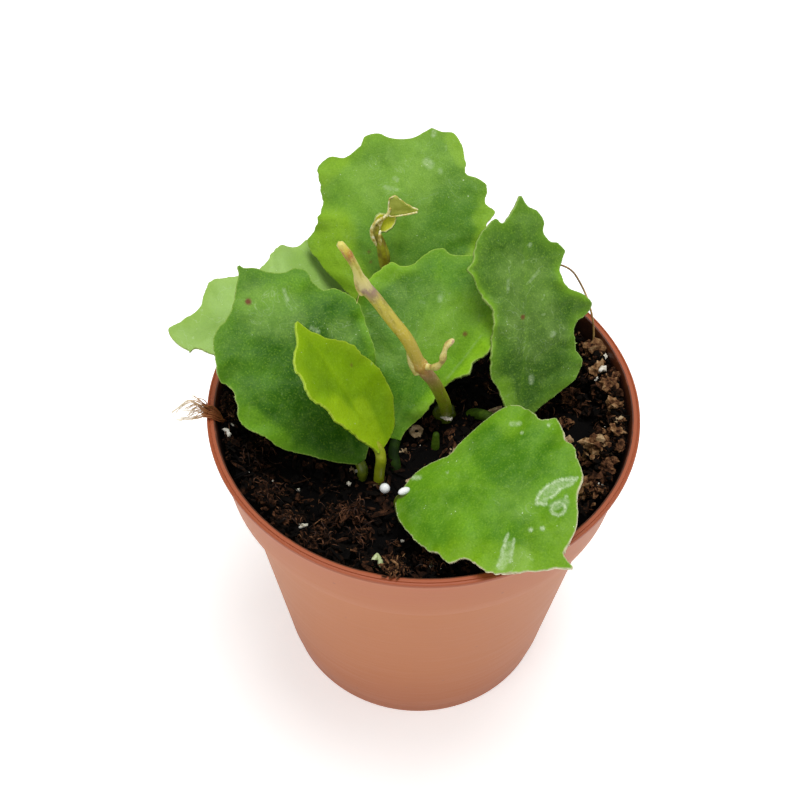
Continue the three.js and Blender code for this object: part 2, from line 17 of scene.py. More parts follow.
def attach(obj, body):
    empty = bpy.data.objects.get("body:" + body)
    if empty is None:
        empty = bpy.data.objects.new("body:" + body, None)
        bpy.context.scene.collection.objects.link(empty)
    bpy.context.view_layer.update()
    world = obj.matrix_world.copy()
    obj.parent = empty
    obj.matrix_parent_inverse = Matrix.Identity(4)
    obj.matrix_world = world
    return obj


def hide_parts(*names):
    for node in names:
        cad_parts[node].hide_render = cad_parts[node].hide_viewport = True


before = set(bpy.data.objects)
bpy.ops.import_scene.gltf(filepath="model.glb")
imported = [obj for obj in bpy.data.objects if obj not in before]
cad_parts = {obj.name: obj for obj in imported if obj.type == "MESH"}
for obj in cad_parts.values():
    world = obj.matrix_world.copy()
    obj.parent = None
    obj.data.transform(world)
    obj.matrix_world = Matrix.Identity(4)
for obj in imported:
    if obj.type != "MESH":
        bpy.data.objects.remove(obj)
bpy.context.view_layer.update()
MM = 0.001
print("CAD nodes:", len(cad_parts))

# %% [markdown]
# ## The camera
# The photograph was taken from in front, looking down at about fifty degrees from a hand's
# length away. A short distance bends the pot's sides inwards towards its foot, so the distance
# matters as much as the angle, and the lens is set from it rather than the other way round.

# %% Stand the camera where the photographer stood
CAMERA_PLACE = Vector((-5.51, -166.12, 279.50)) * MM
CAMERA_DIP = math.radians(50.12)     # below the horizon
CAMERA_ROLL = math.radians(0.63)
CAMERA_LENS = 56.45                  # millimetres, on a 36 mm sensor

camera_data = bpy.data.cameras.new("camera")
camera_data.lens = CAMERA_LENS
camera_data.sensor_width = 36
camera_data.clip_start = 0.01
camera_data.clip_end = 20
camera = bpy.data.objects.new("camera", camera_data)
bpy.context.scene.collection.objects.link(camera)
camera.matrix_world = (
    Matrix.Translation(CAMERA_PLACE)
    @ Matrix.Rotation(math.pi / 2 - CAMERA_DIP, 4, "X")
    @ Matrix.Rotation(CAMERA_ROLL, 4, "Z")
)
bpy.context.scene.camera = camera
bpy.context.scene.view_settings.view_transform = "Standard"
print("camera height in mm:", round(CAMERA_PLACE.z / MM))

# %% [markdown]
# ## Nodes and colours
# A procedural finish is a small tree of nodes. One function adds a node with its settings, its
# values and its links, so that each finish below reads like a list. Colours are written as the
# sRGB hex values that a colour picker shows, and turned into the linear values that light needs.

# %% Helpers for finishes
def linear(hex_colour):
    channels = [int(hex_colour[k:k + 2], 16) / 255 for k in (1, 3, 5)]
    toned = [c / 12.92 if c <= 0.04045 else ((c + 0.055) / 1.055) ** 2.4 for c in channels]
    return (*toned, 1.0)


def every(millimetres):
    """The Scale that makes a texture on Object coordinates repeat about once in this distance."""
    return 1 / (millimetres * MM)


def add(tree, kind, settings=(), inputs=(), stops=()):
    node = tree.nodes.new(kind)
    for name, value in dict(settings).items():
        setattr(node, name, value)
    for name, value in dict(inputs).items():
        if isinstance(value, bpy.types.NodeSocket):
            tree.links.new(value, node.inputs[name])
        else:
            node.inputs[name].default_value = value
    for k, (position, colour) in enumerate(stops):
        elements = node.color_ramp.elements
        stop = elements[k] if k < len(elements) else elements.new(position)
        stop.position = position
        stop.color = linear(colour)
    return node


def new_finish(name, roughness, ior=1.45):
    finish = bpy.data.materials.new(name)
    finish.use_nodes = True
    tree = finish.node_tree
    shader = tree.nodes["Principled BSDF"]
    shader.inputs["Roughness"].default_value = roughness
    shader.inputs["IOR"].default_value = ior
    place = add(tree, "ShaderNodeTexCoord").outputs["Object"]
    return finish, tree, shader, place


print("one pattern repeat in 2 mm is Scale", every(2))

# %% [markdown]
# ## Floor and light
# A plain pale floor and an even sky are what a small product is usually shot in. One large soft
# lamp overhead gives the leaves their broad pale sheen. A second stands in front on the left, and
# a weak one fills the right side. All are large compared with the plant, so shadows are soft.

# %% Floor, sky and three soft lamps
floor_finish, tree, shader, place = new_finish("matt_white_paper", 0.9)
fibres = add(tree, "ShaderNodeTexNoise", inputs={"Vector": place, "Scale": every(3), "Detail": 4.0})
paper = add(tree, "ShaderNodeValToRGB", inputs={"Fac": fibres.outputs["Fac"]},
            stops=((0.3, "#fbfbfa"), (0.7, "#fdfdfc")))
tree.links.new(paper.outputs["Color"], shader.inputs["Base Color"])
shader.inputs["Emission Color"].default_value = linear("#ffffff")
shader.inputs["Emission Strength"].default_value = 0.45

floor_mesh = bpy.data.meshes.new("floor")
shape = bmesh.new()
bmesh.ops.create_circle(shape, cap_ends=True, segments=96, radius=3)
shape.to_mesh(floor_mesh)
shape.free()
floor = bpy.data.objects.new("floor", floor_mesh)
floor_mesh.materials.append(floor_finish)
bpy.context.scene.collection.objects.link(floor)

world = bpy.data.worlds.new("soft_sky")
bpy.context.scene.world = world
world.use_nodes = True
sky = world.node_tree.nodes["Background"]
sky.inputs["Color"].default_value = linear("#ffffff")
sky.inputs["Strength"].default_value = 0.27

LAMP_TARGET = Vector((0, 0, 80))     # the middle of the foliage, in mm
LAMPS = (
    # name, place in mm, width in mm, watts
    ("lamp_key", (45, 70, 690), 380, 3.0),
    ("lamp_front", (-280, -420, 420), 500, 0.95),
    ("lamp_side", (460, -60, 300), 400, 0.35),
)
for name, spot, width, watts in LAMPS:
    lamp_data = bpy.data.lights.new(name, "AREA")
    lamp_data.shape = "DISK"
    lamp_data.size = width * MM
    lamp_data.energy = watts
    lamp = bpy.data.objects.new(name, lamp_data)
    bpy.context.scene.collection.objects.link(lamp)
    aim = (LAMP_TARGET - Vector(spot)).to_track_quat("-Z", "Y").to_matrix().to_4x4()
    lamp.matrix_world = Matrix.Translation(Vector(spot) * MM) @ aim
print("lamps:", len(LAMPS))

# %% [markdown]
# ## Putting a finished shape in the scene
# Each piece is made in a bmesh in millimetres, where the numbers are easy to read. The helper
# below merges doubled corners, scales the shape to metres, shades it smooth and lets it ride on
# the part's one body. It also hides the CAD node that the piece stands for.

# %% Helper for pieces
def finish_piece(name, shape, finishes, node=None, weld=0.001, recalculate=True, smooth=True):
    bmesh.ops.remove_doubles(shape, verts=shape.verts, dist=weld)
    if recalculate:
        bmesh.ops.recalc_face_normals(shape, faces=shape.faces)
    bmesh.ops.scale(shape, vec=(MM, MM, MM), verts=shape.verts)
    mesh = bpy.data.meshes.new(name)
    shape.to_mesh(mesh)
    shape.free()
    if smooth:
        mesh.shade_smooth()
    for finish in finishes:
        mesh.materials.append(finish)
    piece = bpy.data.objects.new(name, mesh)
    bpy.context.scene.collection.objects.link(piece)
    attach(piece, "root")
    if node:
        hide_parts(node)
    print(f"{name}: {len(mesh.polygons)} faces")
    return piece


# %% [markdown]
# ## The pot
# A nursery pot is one thin shell of polypropylene, moulded in one shot: a foot ring, a straight
# taper, a wider collar that lets pots nest, and a small turned-out lip. Such a shape is a lathe
# shape, so half its section is drawn as a chain of edges and spun round once.

# %% Spin the pot's wall
POT_HEIGHT = 80
RIM_RADIUS = 45
WALL = 0.9
FLOOR = 1.4
FOOT_RADIUS = 31.8
COLLAR_TOP_RADIUS = 44.1
COLLAR_FOOT_RADIUS = 42.4
COLLAR_FOOT = 64.4
BODY_TOP_RADIUS = 40.2
FOOT_RING = 4.6
POT_STEPS = 180


def wall_radius(height):
    if height >= COLLAR_FOOT:
        share = (height - COLLAR_FOOT) / (POT_HEIGHT - COLLAR_FOOT)
        return COLLAR_FOOT_RADIUS + (COLLAR_TOP_RADIUS - COLLAR_FOOT_RADIUS) * share
    return FOOT_RADIUS + (BODY_TOP_RADIUS - FOOT_RADIUS) * height / COLLAR_FOOT


def straight_rows(radius_at, low, high, count):
    return [(radius_at(low + (high - low) * k / count), low + (high - low) * k / count)
            for k in range(1, count)]


POT_SECTION = [
    (0, 0), (FOOT_RADIUS - 0.8, 0), (FOOT_RADIUS - 0.35, 0.15), (FOOT_RADIUS - 0.2, 0.5),
    (wall_radius(FOOT_RING) - 0.5, FOOT_RING - 0.2), (wall_radius(FOOT_RING) - 0.42, FOOT_RING + 0.1),
    (wall_radius(FOOT_RING + 0.6) - 0.06, FOOT_RING + 0.45),
    (wall_radius(FOOT_RING + 1), FOOT_RING + 0.8),
    *straight_rows(wall_radius, FOOT_RING + 1, COLLAR_FOOT, 12),
    (BODY_TOP_RADIUS, COLLAR_FOOT - 0.35), (BODY_TOP_RADIUS + 0.25, COLLAR_FOOT - 0.08),
    (COLLAR_FOOT_RADIUS - 0.5, COLLAR_FOOT), (COLLAR_FOOT_RADIUS - 0.12, COLLAR_FOOT + 0.14),
    (COLLAR_FOOT_RADIUS, COLLAR_FOOT + 0.5),
    *straight_rows(wall_radius, COLLAR_FOOT + 0.5, POT_HEIGHT - 1.2, 5),
    (COLLAR_TOP_RADIUS - 0.02, POT_HEIGHT - 1.35), (COLLAR_TOP_RADIUS + 0.12, POT_HEIGHT - 1.08),
    (RIM_RADIUS - 0.2, POT_HEIGHT - 1), (RIM_RADIUS - 0.03, POT_HEIGHT - 0.85),
    (RIM_RADIUS, POT_HEIGHT - 0.55), (RIM_RADIUS - 0.06, POT_HEIGHT - 0.2),
    (RIM_RADIUS - 0.28, POT_HEIGHT - 0.02), (RIM_RADIUS - 0.42, POT_HEIGHT - 0.02),
    (RIM_RADIUS - 0.52, POT_HEIGHT - 0.2), (RIM_RADIUS - 0.64, POT_HEIGHT - 0.2),
    (RIM_RADIUS - 0.74, POT_HEIGHT - 0.01), (COLLAR_TOP_RADIUS - WALL + 0.4, POT_HEIGHT),
    (COLLAR_TOP_RADIUS - WALL + 0.12, POT_HEIGHT - 0.1), (COLLAR_TOP_RADIUS - WALL, POT_HEIGHT - 0.4),
    *[(radius - WALL, height) for radius, height in
      reversed(straight_rows(wall_radius, COLLAR_FOOT + WALL, POT_HEIGHT - 0.4, 6))],
    (COLLAR_FOOT_RADIUS - WALL, COLLAR_FOOT + WALL), (BODY_TOP_RADIUS - WALL, COLLAR_FOOT + WALL - 0.1),
    (wall_radius(FOOT_RING) - WALL - 0.5, FOOT_RING), (FOOT_RADIUS - WALL - 0.4, FLOOR),
    (0, FLOOR),
]


def spin_section(section, steps):
    shape = bmesh.new()
    corners = [shape.verts.new((radius, 0, height)) for radius, height in section]
    for low, high in zip(corners, corners[1:]):
        shape.edges.new((low, high))
    bmesh.ops.spin(shape, geom=shape.verts[:] + shape.edges[:], cent=(0, 0, 0), axis=(0, 0, 1),
                   angle=2 * math.pi, steps=steps, use_merge=True)
    return shape


pot_shape = spin_section(POT_SECTION, POT_STEPS)
print("pot section:", len(POT_SECTION), "points")

# %% [markdown]
# The outside of such a pot is satin, not shiny: the mould is lightly blasted, and a film of dry
# dust and lime greys the colour. Fine level lines come from the flow of the plastic. The inside is
# cleaner and more orange near the lip, and smeared with soil below it.

# %% Moulded polypropylene, outside and inside
pot_outside, tree, shader, place = new_finish("terracotta_polypropylene", 0.5, 1.49)
level = add(tree, "ShaderNodeSeparateXYZ", inputs={"Vector": place})
broad = add(tree, "ShaderNodeTexNoise", inputs={"Vector": place, "Scale": every(22), "Detail": 3.0})
waved = add(tree, "ShaderNodeMath", {"operation": "MULTIPLY_ADD"},
            {0: broad.outputs["Fac"], 1: 0.02, 2: level.outputs["Z"]})
height_share = add(tree, "ShaderNodeMapRange", inputs={
    "Value": waved.outputs[0], "From Min": 0.01, "From Max": 0.089})
# the wall is darker towards its foot, which is partly painted shade
body_colour_and_foot_shade = add(tree, "ShaderNodeValToRGB", inputs={"Fac": height_share.outputs[0]}, stops=(
    (0.0, "#a65826"), (0.35, "#b06530"), (0.75, "#b66c3a"), (0.97, "#b4653a")))
flow_place = add(tree, "ShaderNodeMapping", inputs={"Vector": place, "Scale": (1, 1, 14)})
flow = add(tree, "ShaderNodeTexNoise",
           inputs={"Vector": flow_place.outputs["Vector"], "Scale": every(18), "Detail": 5.0})
dust_ramp = add(tree, "ShaderNodeValToRGB", inputs={"Fac": flow.outputs["Fac"]},
                stops=((0.42, "#000000"), (0.75, "#747474")))
dust_share = add(tree, "ShaderNodeMath", {"operation": "MULTIPLY"},
                 {0: dust_ramp.outputs["Color"], 1: height_share.outputs[0]})
dusty = add(tree, "ShaderNodeMix", {"data_type": "RGBA"},
            {0: dust_share.outputs[0], 6: body_colour_and_foot_shade.outputs["Color"], 7: linear("#bd8860")})
# the rolled lip is thicker and clean, so it looks darker and more orange
lip_share = add(tree, "ShaderNodeMapRange", inputs={
    "Value": level.outputs["Z"], "From Min": 0.0768, "From Max": 0.0786})
lipped = add(tree, "ShaderNodeMix", {"data_type": "RGBA"},
             {0: lip_share.outputs[0], 6: dusty.outputs[2], 7: linear("#a04d25")})
specks = add(tree, "ShaderNodeTexVoronoi", inputs={"Vector": place, "Scale": every(7)})
speck_ramp = add(tree, "ShaderNodeValToRGB", inputs={"Fac": specks.outputs["Distance"]},
                 stops=((0.03, "#b0b0b0"), (0.06, "#000000")))
specked = add(tree, "ShaderNodeMix", {"data_type": "RGBA"},
              {0: speck_ramp.outputs["Color"], 6: lipped.outputs[2], 7: linear("#8f5540")})
tree.links.new(specked.outputs[2], shader.inputs["Base Color"])
grain = add(tree, "ShaderNodeTexNoise", inputs={"Vector": place, "Scale": every(0.35), "Detail": 2.0})
relief = add(tree, "ShaderNodeMath", {"operation": "MULTIPLY_ADD"},
             {0: flow.outputs["Fac"], 1: 1.5, 2: grain.outputs["Fac"]})
bump = add(tree, "ShaderNodeBump", inputs={
    "Strength": 0.12, "Distance": 0.0002, "Height": relief.outputs[0]})
tree.links.new(bump.outputs["Normal"], shader.inputs["Normal"])
gloss = add(tree, "ShaderNodeMapRange",
            inputs={"Value": flow.outputs["Fac"], "To Min": 0.42, "To Max": 0.62})
tree.links.new(gloss.outputs["Result"], shader.inputs["Roughness"])

pot_inside, tree, shader, place = new_finish("terracotta_polypropylene_soiled", 0.45, 1.49)
height = add(tree, "ShaderNodeSeparateXYZ", inputs={"Vector": place})
smear = add(tree, "ShaderNodeTexNoise", inputs={"Vector": place, "Scale": every(5), "Detail": 6.0})
ragged = add(tree, "ShaderNodeMath", {"operation": "MULTIPLY_ADD"},
             {0: smear.outputs["Fac"], 1: -0.006, 2: height.outputs["Z"]})
soiled = add(tree, "ShaderNodeMapRange", inputs={
    "Value": ragged.outputs[0], "From Min": 0.067, "From Max": 0.0785})
inner_colour = add(tree, "ShaderNodeValToRGB", inputs={"Fac": soiled.outputs["Result"]}, stops=(
    (0.0, "#0d0704"), (0.4, "#1a0c06"), (0.7, "#35170b"), (0.88, "#56280f"), (0.97, "#8a401f")))
tree.links.new(inner_colour.outputs["Color"], shader.inputs["Base Color"])
bump = add(tree, "ShaderNodeBump", inputs={
    "Strength": 0.3, "Distance": 0.0003, "Height": smear.outputs["Fac"]})
tree.links.new(bump.outputs["Normal"], shader.inputs["Normal"])

# %% [markdown]
# The holes are short cylinders that a Boolean modifier takes away from the floor. The inner faces
# are found by the way they point, and get the soiled finish. Only real corners stay sharp.

# %% Cut the drainage holes and finish the pot
DRAIN_HOLES = 8
DRAIN_RADIUS = 3
DRAIN_CIRCLE = 24
CUTTER_DEPTH = 6
SHARP_ANGLE = math.radians(40)

pot = finish_piece("nursery_pot", pot_shape, [pot_outside, pot_inside], "pot")
cutter_shape = bmesh.new()
for k in range(DRAIN_HOLES):
    turn = 2 * math.pi * (k + 0.5) / DRAIN_HOLES
    spot = Vector((DRAIN_CIRCLE * math.cos(turn), DRAIN_CIRCLE * math.sin(turn), 0)) * MM
    bmesh.ops.create_cone(cutter_shape, cap_ends=True, segments=32, radius1=DRAIN_RADIUS * MM,
                          radius2=DRAIN_RADIUS * MM, depth=CUTTER_DEPTH * MM,
                          matrix=Matrix.Translation(spot))
cutter_mesh = bpy.data.meshes.new("drain_cutter")
cutter_shape.to_mesh(cutter_mesh)
cutter_shape.free()
cutter = bpy.data.objects.new("drain_cutter", cutter_mesh)
bpy.context.scene.collection.objects.link(cutter)
cut = pot.modifiers.new("drain_holes", "BOOLEAN")
cut.operation = "DIFFERENCE"
cut.solver = "EXACT"
cut.object = cutter


def apply_modifiers(piece):
    """Replaces a piece's mesh with what its modifiers make of it."""
    bpy.context.view_layer.update()
    made = bpy.data.meshes.new_from_object(piece.evaluated_get(bpy.context.evaluated_depsgraph_get()))
    piece.modifiers.clear()
    piece.data = made


apply_modifiers(pot)
bpy.data.objects.remove(cutter)
for face in pot.data.polygons:
    middle = face.center / MM
    outward = Vector((middle.x, middle.y, 0)).dot(face.normal)
    face.material_index = int(middle.z > FLOOR / 2 and (outward < 0 or middle.z < FLOOR + 0.5)
                              and middle.xy.length < COLLAR_TOP_RADIUS - WALL / 2)
    face.use_smooth = True
pot.data.set_sharp_from_angle(angle=SHARP_ANGLE)
print("pot faces after the holes:", len(pot.data.polygons))

# %% [markdown]
# ## The potting mix
# Potting mix is moist peat with bark crumbs, coir fibres and a few grains of perlite. It is built
# in layers: a spun mound whose surface is pushed about by noise, thousands of small crumbs, fibres
# that lie over them, and the pale grains. Broken silhouettes at three sizes make it read as soil,
# which a bump texture on a smooth mound never does. At the wall the mix is banked up.

# %% The mound
SOIL_LEVEL = 70.6
SOIL_GAP = WALL + 0.35
HUMMOCKS = (                         # x, y, height, spread
    (-6, -37, 1.2, 4), (-30, -24, 1.2, 7), (34.5, -1.5, -4, 4), (36, 11, 1.6, 5), (35.5, -9, 1.6, 3.5),
    (12, 30, -1.8, 12), (36, 26, -2.5, 8), (2, -10, -1.2, 9), (-22, 30, -1.5, 10),
    (-15.5, -24, 1.4, 3.5),
    (-20, -34, -1.0, 3), (-33, -14, -1.2, 3.5),
)
BANK_START = 34                      # the mix rises from this radius out to the wall
BANK_RUN = 6.5
SOIL_STEPS = 360


def soil_height(x, y):
    waves = 0.5 * math.sin(0.42 * x + 1.3) * math.cos(0.37 * y) + 0.35 * math.sin(0.83 * x - 0.61 * y)
    mounds = sum(height * math.exp(-((x - mx) ** 2 + (y - my) ** 2) / spread ** 2)
                 for mx, my, height, spread in HUMMOCKS)
    reach, turn = math.hypot(x, y), math.atan2(y, x)
    bank = 4.2 + 1.8 * abs(math.cos(turn)) + 1.6 * max(math.cos(turn), 0) - 2 * max(math.sin(turn), 0)
    banked = bank * min(max((reach - BANK_START) / BANK_RUN, 0), 1)
    return SOIL_LEVEL + waves + mounds + banked


SOIL_EDGE = wall_radius(SOIL_LEVEL) - SOIL_GAP
SOIL_RINGS = 110
SOIL_SECTION = [
    (0, SOIL_LEVEL), *[(SOIL_EDGE * k / SOIL_RINGS, SOIL_LEVEL) for k in range(1, SOIL_RINGS + 1)],
    (COLLAR_FOOT_RADIUS - SOIL_GAP, COLLAR_FOOT + SOIL_GAP),
    (BODY_TOP_RADIUS - SOIL_GAP, COLLAR_FOOT + SOIL_GAP - 0.2),
    (wall_radius(FOOT_RING) - SOIL_GAP - 0.9, FOOT_RING), (FOOT_RADIUS - SOIL_GAP - 1.2, FLOOR + 0.35),
    (0, FLOOR + 0.35),
]
soil_shape = spin_section(SOIL_SECTION, SOIL_STEPS)
hollow_shade_tone = soil_shape.verts.layers.float.new("tone")
for corner in soil_shape.verts:
    if corner.co.z == SOIL_LEVEL:
        x, y = corner.co.x, corner.co.y
        rough = noise.fractal(Vector((x, y, 3.1)) * 0.4, 0.75, 2.2, 6)
        clods = 0.35 - abs(noise.noise(Vector((x, y, 9.7)) * 0.8))
        raised = 1.5 * rough + 1.3 * clods
        corner.co.z = soil_height(x, y) + raised
        # painted shade: the tone is darker in the mound's hollows and paler on its bumps
        corner[hollow_shade_tone] = min(max(0.1 + 0.12 * raised, 0), 0.4)
        widening = wall_radius(corner.co.z) / wall_radius(SOIL_LEVEL) - 1
        corner.co.xy *= 1 + widening * math.hypot(x, y) / SOIL_EDGE

# %% [markdown]
# Dry bits such as coir, husks and perlite are patchy in colour and rough to the touch. One
# function makes such a finish: a coarser noise picks the colour and a finer one makes the bump.

# %% A finish for dry bits, with coir and perlite
def earthy_finish(name, stops, patch, grain_size, roughness, relief):
    finish, tree, shader, place = new_finish(name, roughness)
    patches = add(tree, "ShaderNodeTexNoise",
                  inputs={"Vector": place, "Scale": every(patch), "Detail": 8.0, "Roughness": 0.65})
    colours = add(tree, "ShaderNodeValToRGB", inputs={"Fac": patches.outputs["Fac"]}, stops=stops)
    tree.links.new(colours.outputs["Color"], shader.inputs["Base Color"])
    grains = add(tree, "ShaderNodeTexNoise",
                 inputs={"Vector": place, "Scale": every(grain_size), "Detail": 5.0})
    bump = add(tree, "ShaderNodeBump", inputs={
        "Strength": relief, "Distance": 0.0004, "Height": grains.outputs["Fac"]})
    tree.links.new(bump.outputs["Normal"], shader.inputs["Normal"])
    return finish


coconut_fibre = earthy_finish("coconut_fibre", (
    (0.36, "#120a06"), (0.48, "#3a2114"), (0.58, "#6f4529"), (0.72, "#a67a50")), 2.2, 0.3, 0.75, 0.4)
perlite = earthy_finish("expanded_perlite", (
    (0.32, "#9d8f78"), (0.45, "#dcd5c3"), (0.7, "#f1eee4")), 1.4, 0.3, 0.9, 0.6)

# %% [markdown]
# Moist peat is nearly black and a dull red-brown where it has dried, and bark is paler. The mound
# and the crumbs share one finish for both. Each crumb gets a tone of its own, a number from dark to
# pale that is stored at its corners. The mound's tone is painted shade: darker in its hollows and
# paler on its bumps. The finish turns that number into a colour.

# %% Peat and bark, coloured by a stored tone
bark_crumb, tree, shader, place = new_finish("bark_and_peat_crumb", 0.85)
shader.inputs["Specular IOR Level"].default_value = 0.12
tone = add(tree, "ShaderNodeAttribute", {"attribute_name": "tone"})
grain = add(tree, "ShaderNodeTexNoise", inputs={
    "Vector": place, "Scale": every(0.9), "Detail": 6.0, "Roughness": 0.7})
uneven = add(tree, "ShaderNodeMath", {"operation": "MULTIPLY_ADD"},
             {0: grain.outputs["Fac"], 1: 0.9, 2: tone.outputs["Fac"]})
shifted = add(tree, "ShaderNodeMath", {"operation": "SUBTRACT"}, {0: uneven.outputs[0], 1: 0.45})
crumb_colour = add(tree, "ShaderNodeValToRGB", inputs={"Fac": shifted.outputs[0]}, stops=(
    (0.0, "#020101"), (0.25, "#0b0603"), (0.45, "#2b180d"), (0.62, "#573723"), (0.8, "#8a6542"),
    (1.0, "#bd9f78")))
tree.links.new(crumb_colour.outputs["Color"], shader.inputs["Base Color"])
bump = add(tree, "ShaderNodeBump", inputs={
    "Strength": 0.9, "Distance": 0.0004, "Height": grain.outputs["Fac"]})
tree.links.new(bump.outputs["Normal"], shader.inputs["Normal"])

finish_piece("potting_mix_mound", soil_shape, [bark_crumb], "potting_mix")

# %% [markdown]
# The crumbs are small icospheres, each squashed, turned and knocked out of round. They are drawn
# at random from one seed, so that every run scatters them alike. A crumb that would push through
# the pot's wall is pulled inwards.

# %% Helper that drops one crumb
chance = random.Random(11)


def lump(shape, centre, radius, wide=(0.55, 1), thick=(0.5, 0.9), detail=1, ragged=0.6, tone=0.0):
    centre = Vector(centre)
    turn = Matrix.Rotation(chance.uniform(0, 6.28), 4, "Z") @ Matrix.Rotation(chance.gauss(0, 0.6), 4, "X")
    stretch = Matrix.Diagonal((1, chance.uniform(*wide), chance.uniform(*thick), 1))
    layer = shape.verts.layers.float.get("tone") or shape.verts.layers.float.new("tone")
    made = bmesh.ops.create_icosphere(shape, subdivisions=detail, radius=radius,
                                      matrix=Matrix.Translation(centre) @ turn @ stretch)
    for corner in made["verts"]:
        push = noise.fractal(corner.co * (1.4 / radius), 0.6, 2.3, detail + 1)
        corner.co += (corner.co - centre) * ragged * push
        corner[layer] = tone + 0.25 * push
    return made["verts"]


def crumb_at(shape, spot, size, rise, ceiling=POT_HEIGHT - 1.4, **look):
    """A crumb on the mix, kept clear of the pot's wall."""
    x, y = spot
    room = wall_radius(min(soil_height(x, y) + rise, POT_HEIGHT - 2)) - WALL - 0.3 - size
    pull = min(1, room / max(math.hypot(x, y), 0.1))
    x, y = x * pull, y * pull
    # painted light and shade: crumbs are darker on the left and paler on the right
    look["tone"] = look.get("tone", 0) * (0.8 + 0.12 * min(max(x / 30, -1), 1))
    lump(shape, (x, y, min(soil_height(x, y) + rise, ceiling - 0.5 * size)), size, **look)


def anywhere(reach=42.5):
    distance, turn = reach * math.sqrt(chance.random()), chance.uniform(0, 2 * math.pi)
    return distance * math.cos(turn), distance * math.sin(turn)


def joined(batches):
    """One bmesh from many small ones. Growing one large bmesh crumb by crumb would be slow."""
    whole = bmesh.new()
    for batch in batches:
        mesh = bpy.data.meshes.new("batch")
        batch.to_mesh(mesh)
        batch.free()
        whole.from_mesh(mesh)
        bpy.data.meshes.remove(mesh)
    return whole


# %% [markdown]
# Fine crumbs, flat shreds and rounder crumbs are scattered everywhere. The clods are heaps put
# where the photograph shows them, and shreds are heaped where it shows tangled coir.

# %% Scatter the crumbs
CRUMB_BATCH = 150
FINE_CRUMBS = 22                     # batches of each kind
SHREDS = 9
MEDIUM_CRUMBS = 4
EDGE_CRUMBS = 3
EDGE_TURN = (-1.25, 0.5)             # radians round the pot, from the right
EDGE_REACH = (37, 42)
LIP_START = 40.6
SHRED = dict(wide=(0.16, 0.4), thick=(0.05, 0.14), ragged=0.5)

batches = []
for k in range(FINE_CRUMBS):
    batches.append(bmesh.new())
    for _ in range(CRUMB_BATCH):
        crumb_at(batches[-1], anywhere(), chance.uniform(0.2, 0.6), chance.uniform(0, 1.3),
                 ragged=0.8, tone=0.75 * chance.random() ** 2.2)
finish_piece("fine_crumbs", joined(batches), [bark_crumb], weld=0.0001, smooth=False)

batches = []
for k in range(SHREDS):
    batches.append(bmesh.new())
    for _ in range(CRUMB_BATCH):
        crumb_at(batches[-1], anywhere(), chance.uniform(0.6, 2.2), chance.uniform(0.2, 1.5),
                 tone=0.04 + 0.66 * chance.random() ** 1.5, **SHRED)
finish_piece("bark_shreds", joined(batches), [bark_crumb], weld=0.0001, smooth=False)

CLODS = (                            # x, y, radius, tone
    (35.6, -8.8, 2.9, 0.8), (37.5, 16.3, 2.4, 0.7), (37.6, 10.4, 1.9, 0.75), (39.6, 6.2, 1.6, 0.65),
    (30.9, 1.4, 1.5, 0.6), (30.6, -3.8, 1.3, 0.85), (33, -19.5, 1.9, 0.7), (31, -14, 1.8, 0.6),
    (37, -16, 1.5, 0.55), (29, -24, 1.5, 0.5), (33, 14.2, 1.7, 0.5), (25.6, 3.8, 1.4, 0.4),
    (32.6, 7.8, 1.7, 0.5),
    (40.2, 0.6, 1.6, 0.7), (39.5, -6.5, 1.5, 0.65), (-26, -20, 1.3, 0.4), (-36.5, -9, 1.3, 0.4),
    (28.5, 14.5, 1.4, 0.5), (24, -3.5, 1.1, 0.4), (-31, -24, 1.3, 0.4), (-28, -29, 1.2, 0.35),
    (41, 8, 1.2, 0.6), (40.9, -3.4, 1.2, 0.6), (40, -11, 1.2, 0.55), (38, -14.5, 1.1, 0.6),
    (35.6, -21, 1.2, 0.6),
)
CLOD_REACH = 1.9
CLOD_CRUMBS = 34
COIR_CLUMPS = (                      # x, y, spread, pieces
    (-5.6, -40, 2.0, 110), (-40.8, -1, 2.6, 120), (-17.5, -24.4, 2.4, 110), (-13.5, -23.4, 2.2, 90),
    (-12.5, -29, 2.2, 60), (0.6, -36, 2, 60), (-31, -20, 3.4, 70), (-22, -33, 2.6, 60),
    (-35, -12, 3, 80),
    (-26, -27, 3, 70), (-19, -30, 3, 60), (-34, -6, 2.4, 60),
)
batches = []
for k in range(MEDIUM_CRUMBS):
    batches.append(bmesh.new())
    for _ in range(CRUMB_BATCH):
        crumb_at(batches[-1], anywhere(), 0.5 + 0.9 * chance.random() ** 2, chance.uniform(-0.1, 0.8),
                 detail=2, ragged=1.1, tone=0.68 * chance.random() ** 1.7)
# A clod is a heap: one ragged core with smaller crumbs and shreds stuck round it.
for x, y, radius, tone_here in CLODS:
    batches.append(bmesh.new())
    lump(batches[-1], (x, y, soil_height(x, y) + 0.4 * radius), radius,
         detail=3, ragged=0.9, tone=tone_here)
    for _ in range(CLOD_CRUMBS):
        spot = chance.gauss(x, radius / CLOD_REACH), chance.gauss(y, radius / CLOD_REACH)
        look = SHRED if chance.random() < 0.15 else dict(ragged=0.5)
        crumb_at(batches[-1], spot, chance.uniform(0.2, 0.6) * radius / 1.6,
                 chance.uniform(0.3, 1.3) * radius, tone=tone_here + chance.uniform(-0.45, 0.1), **look)
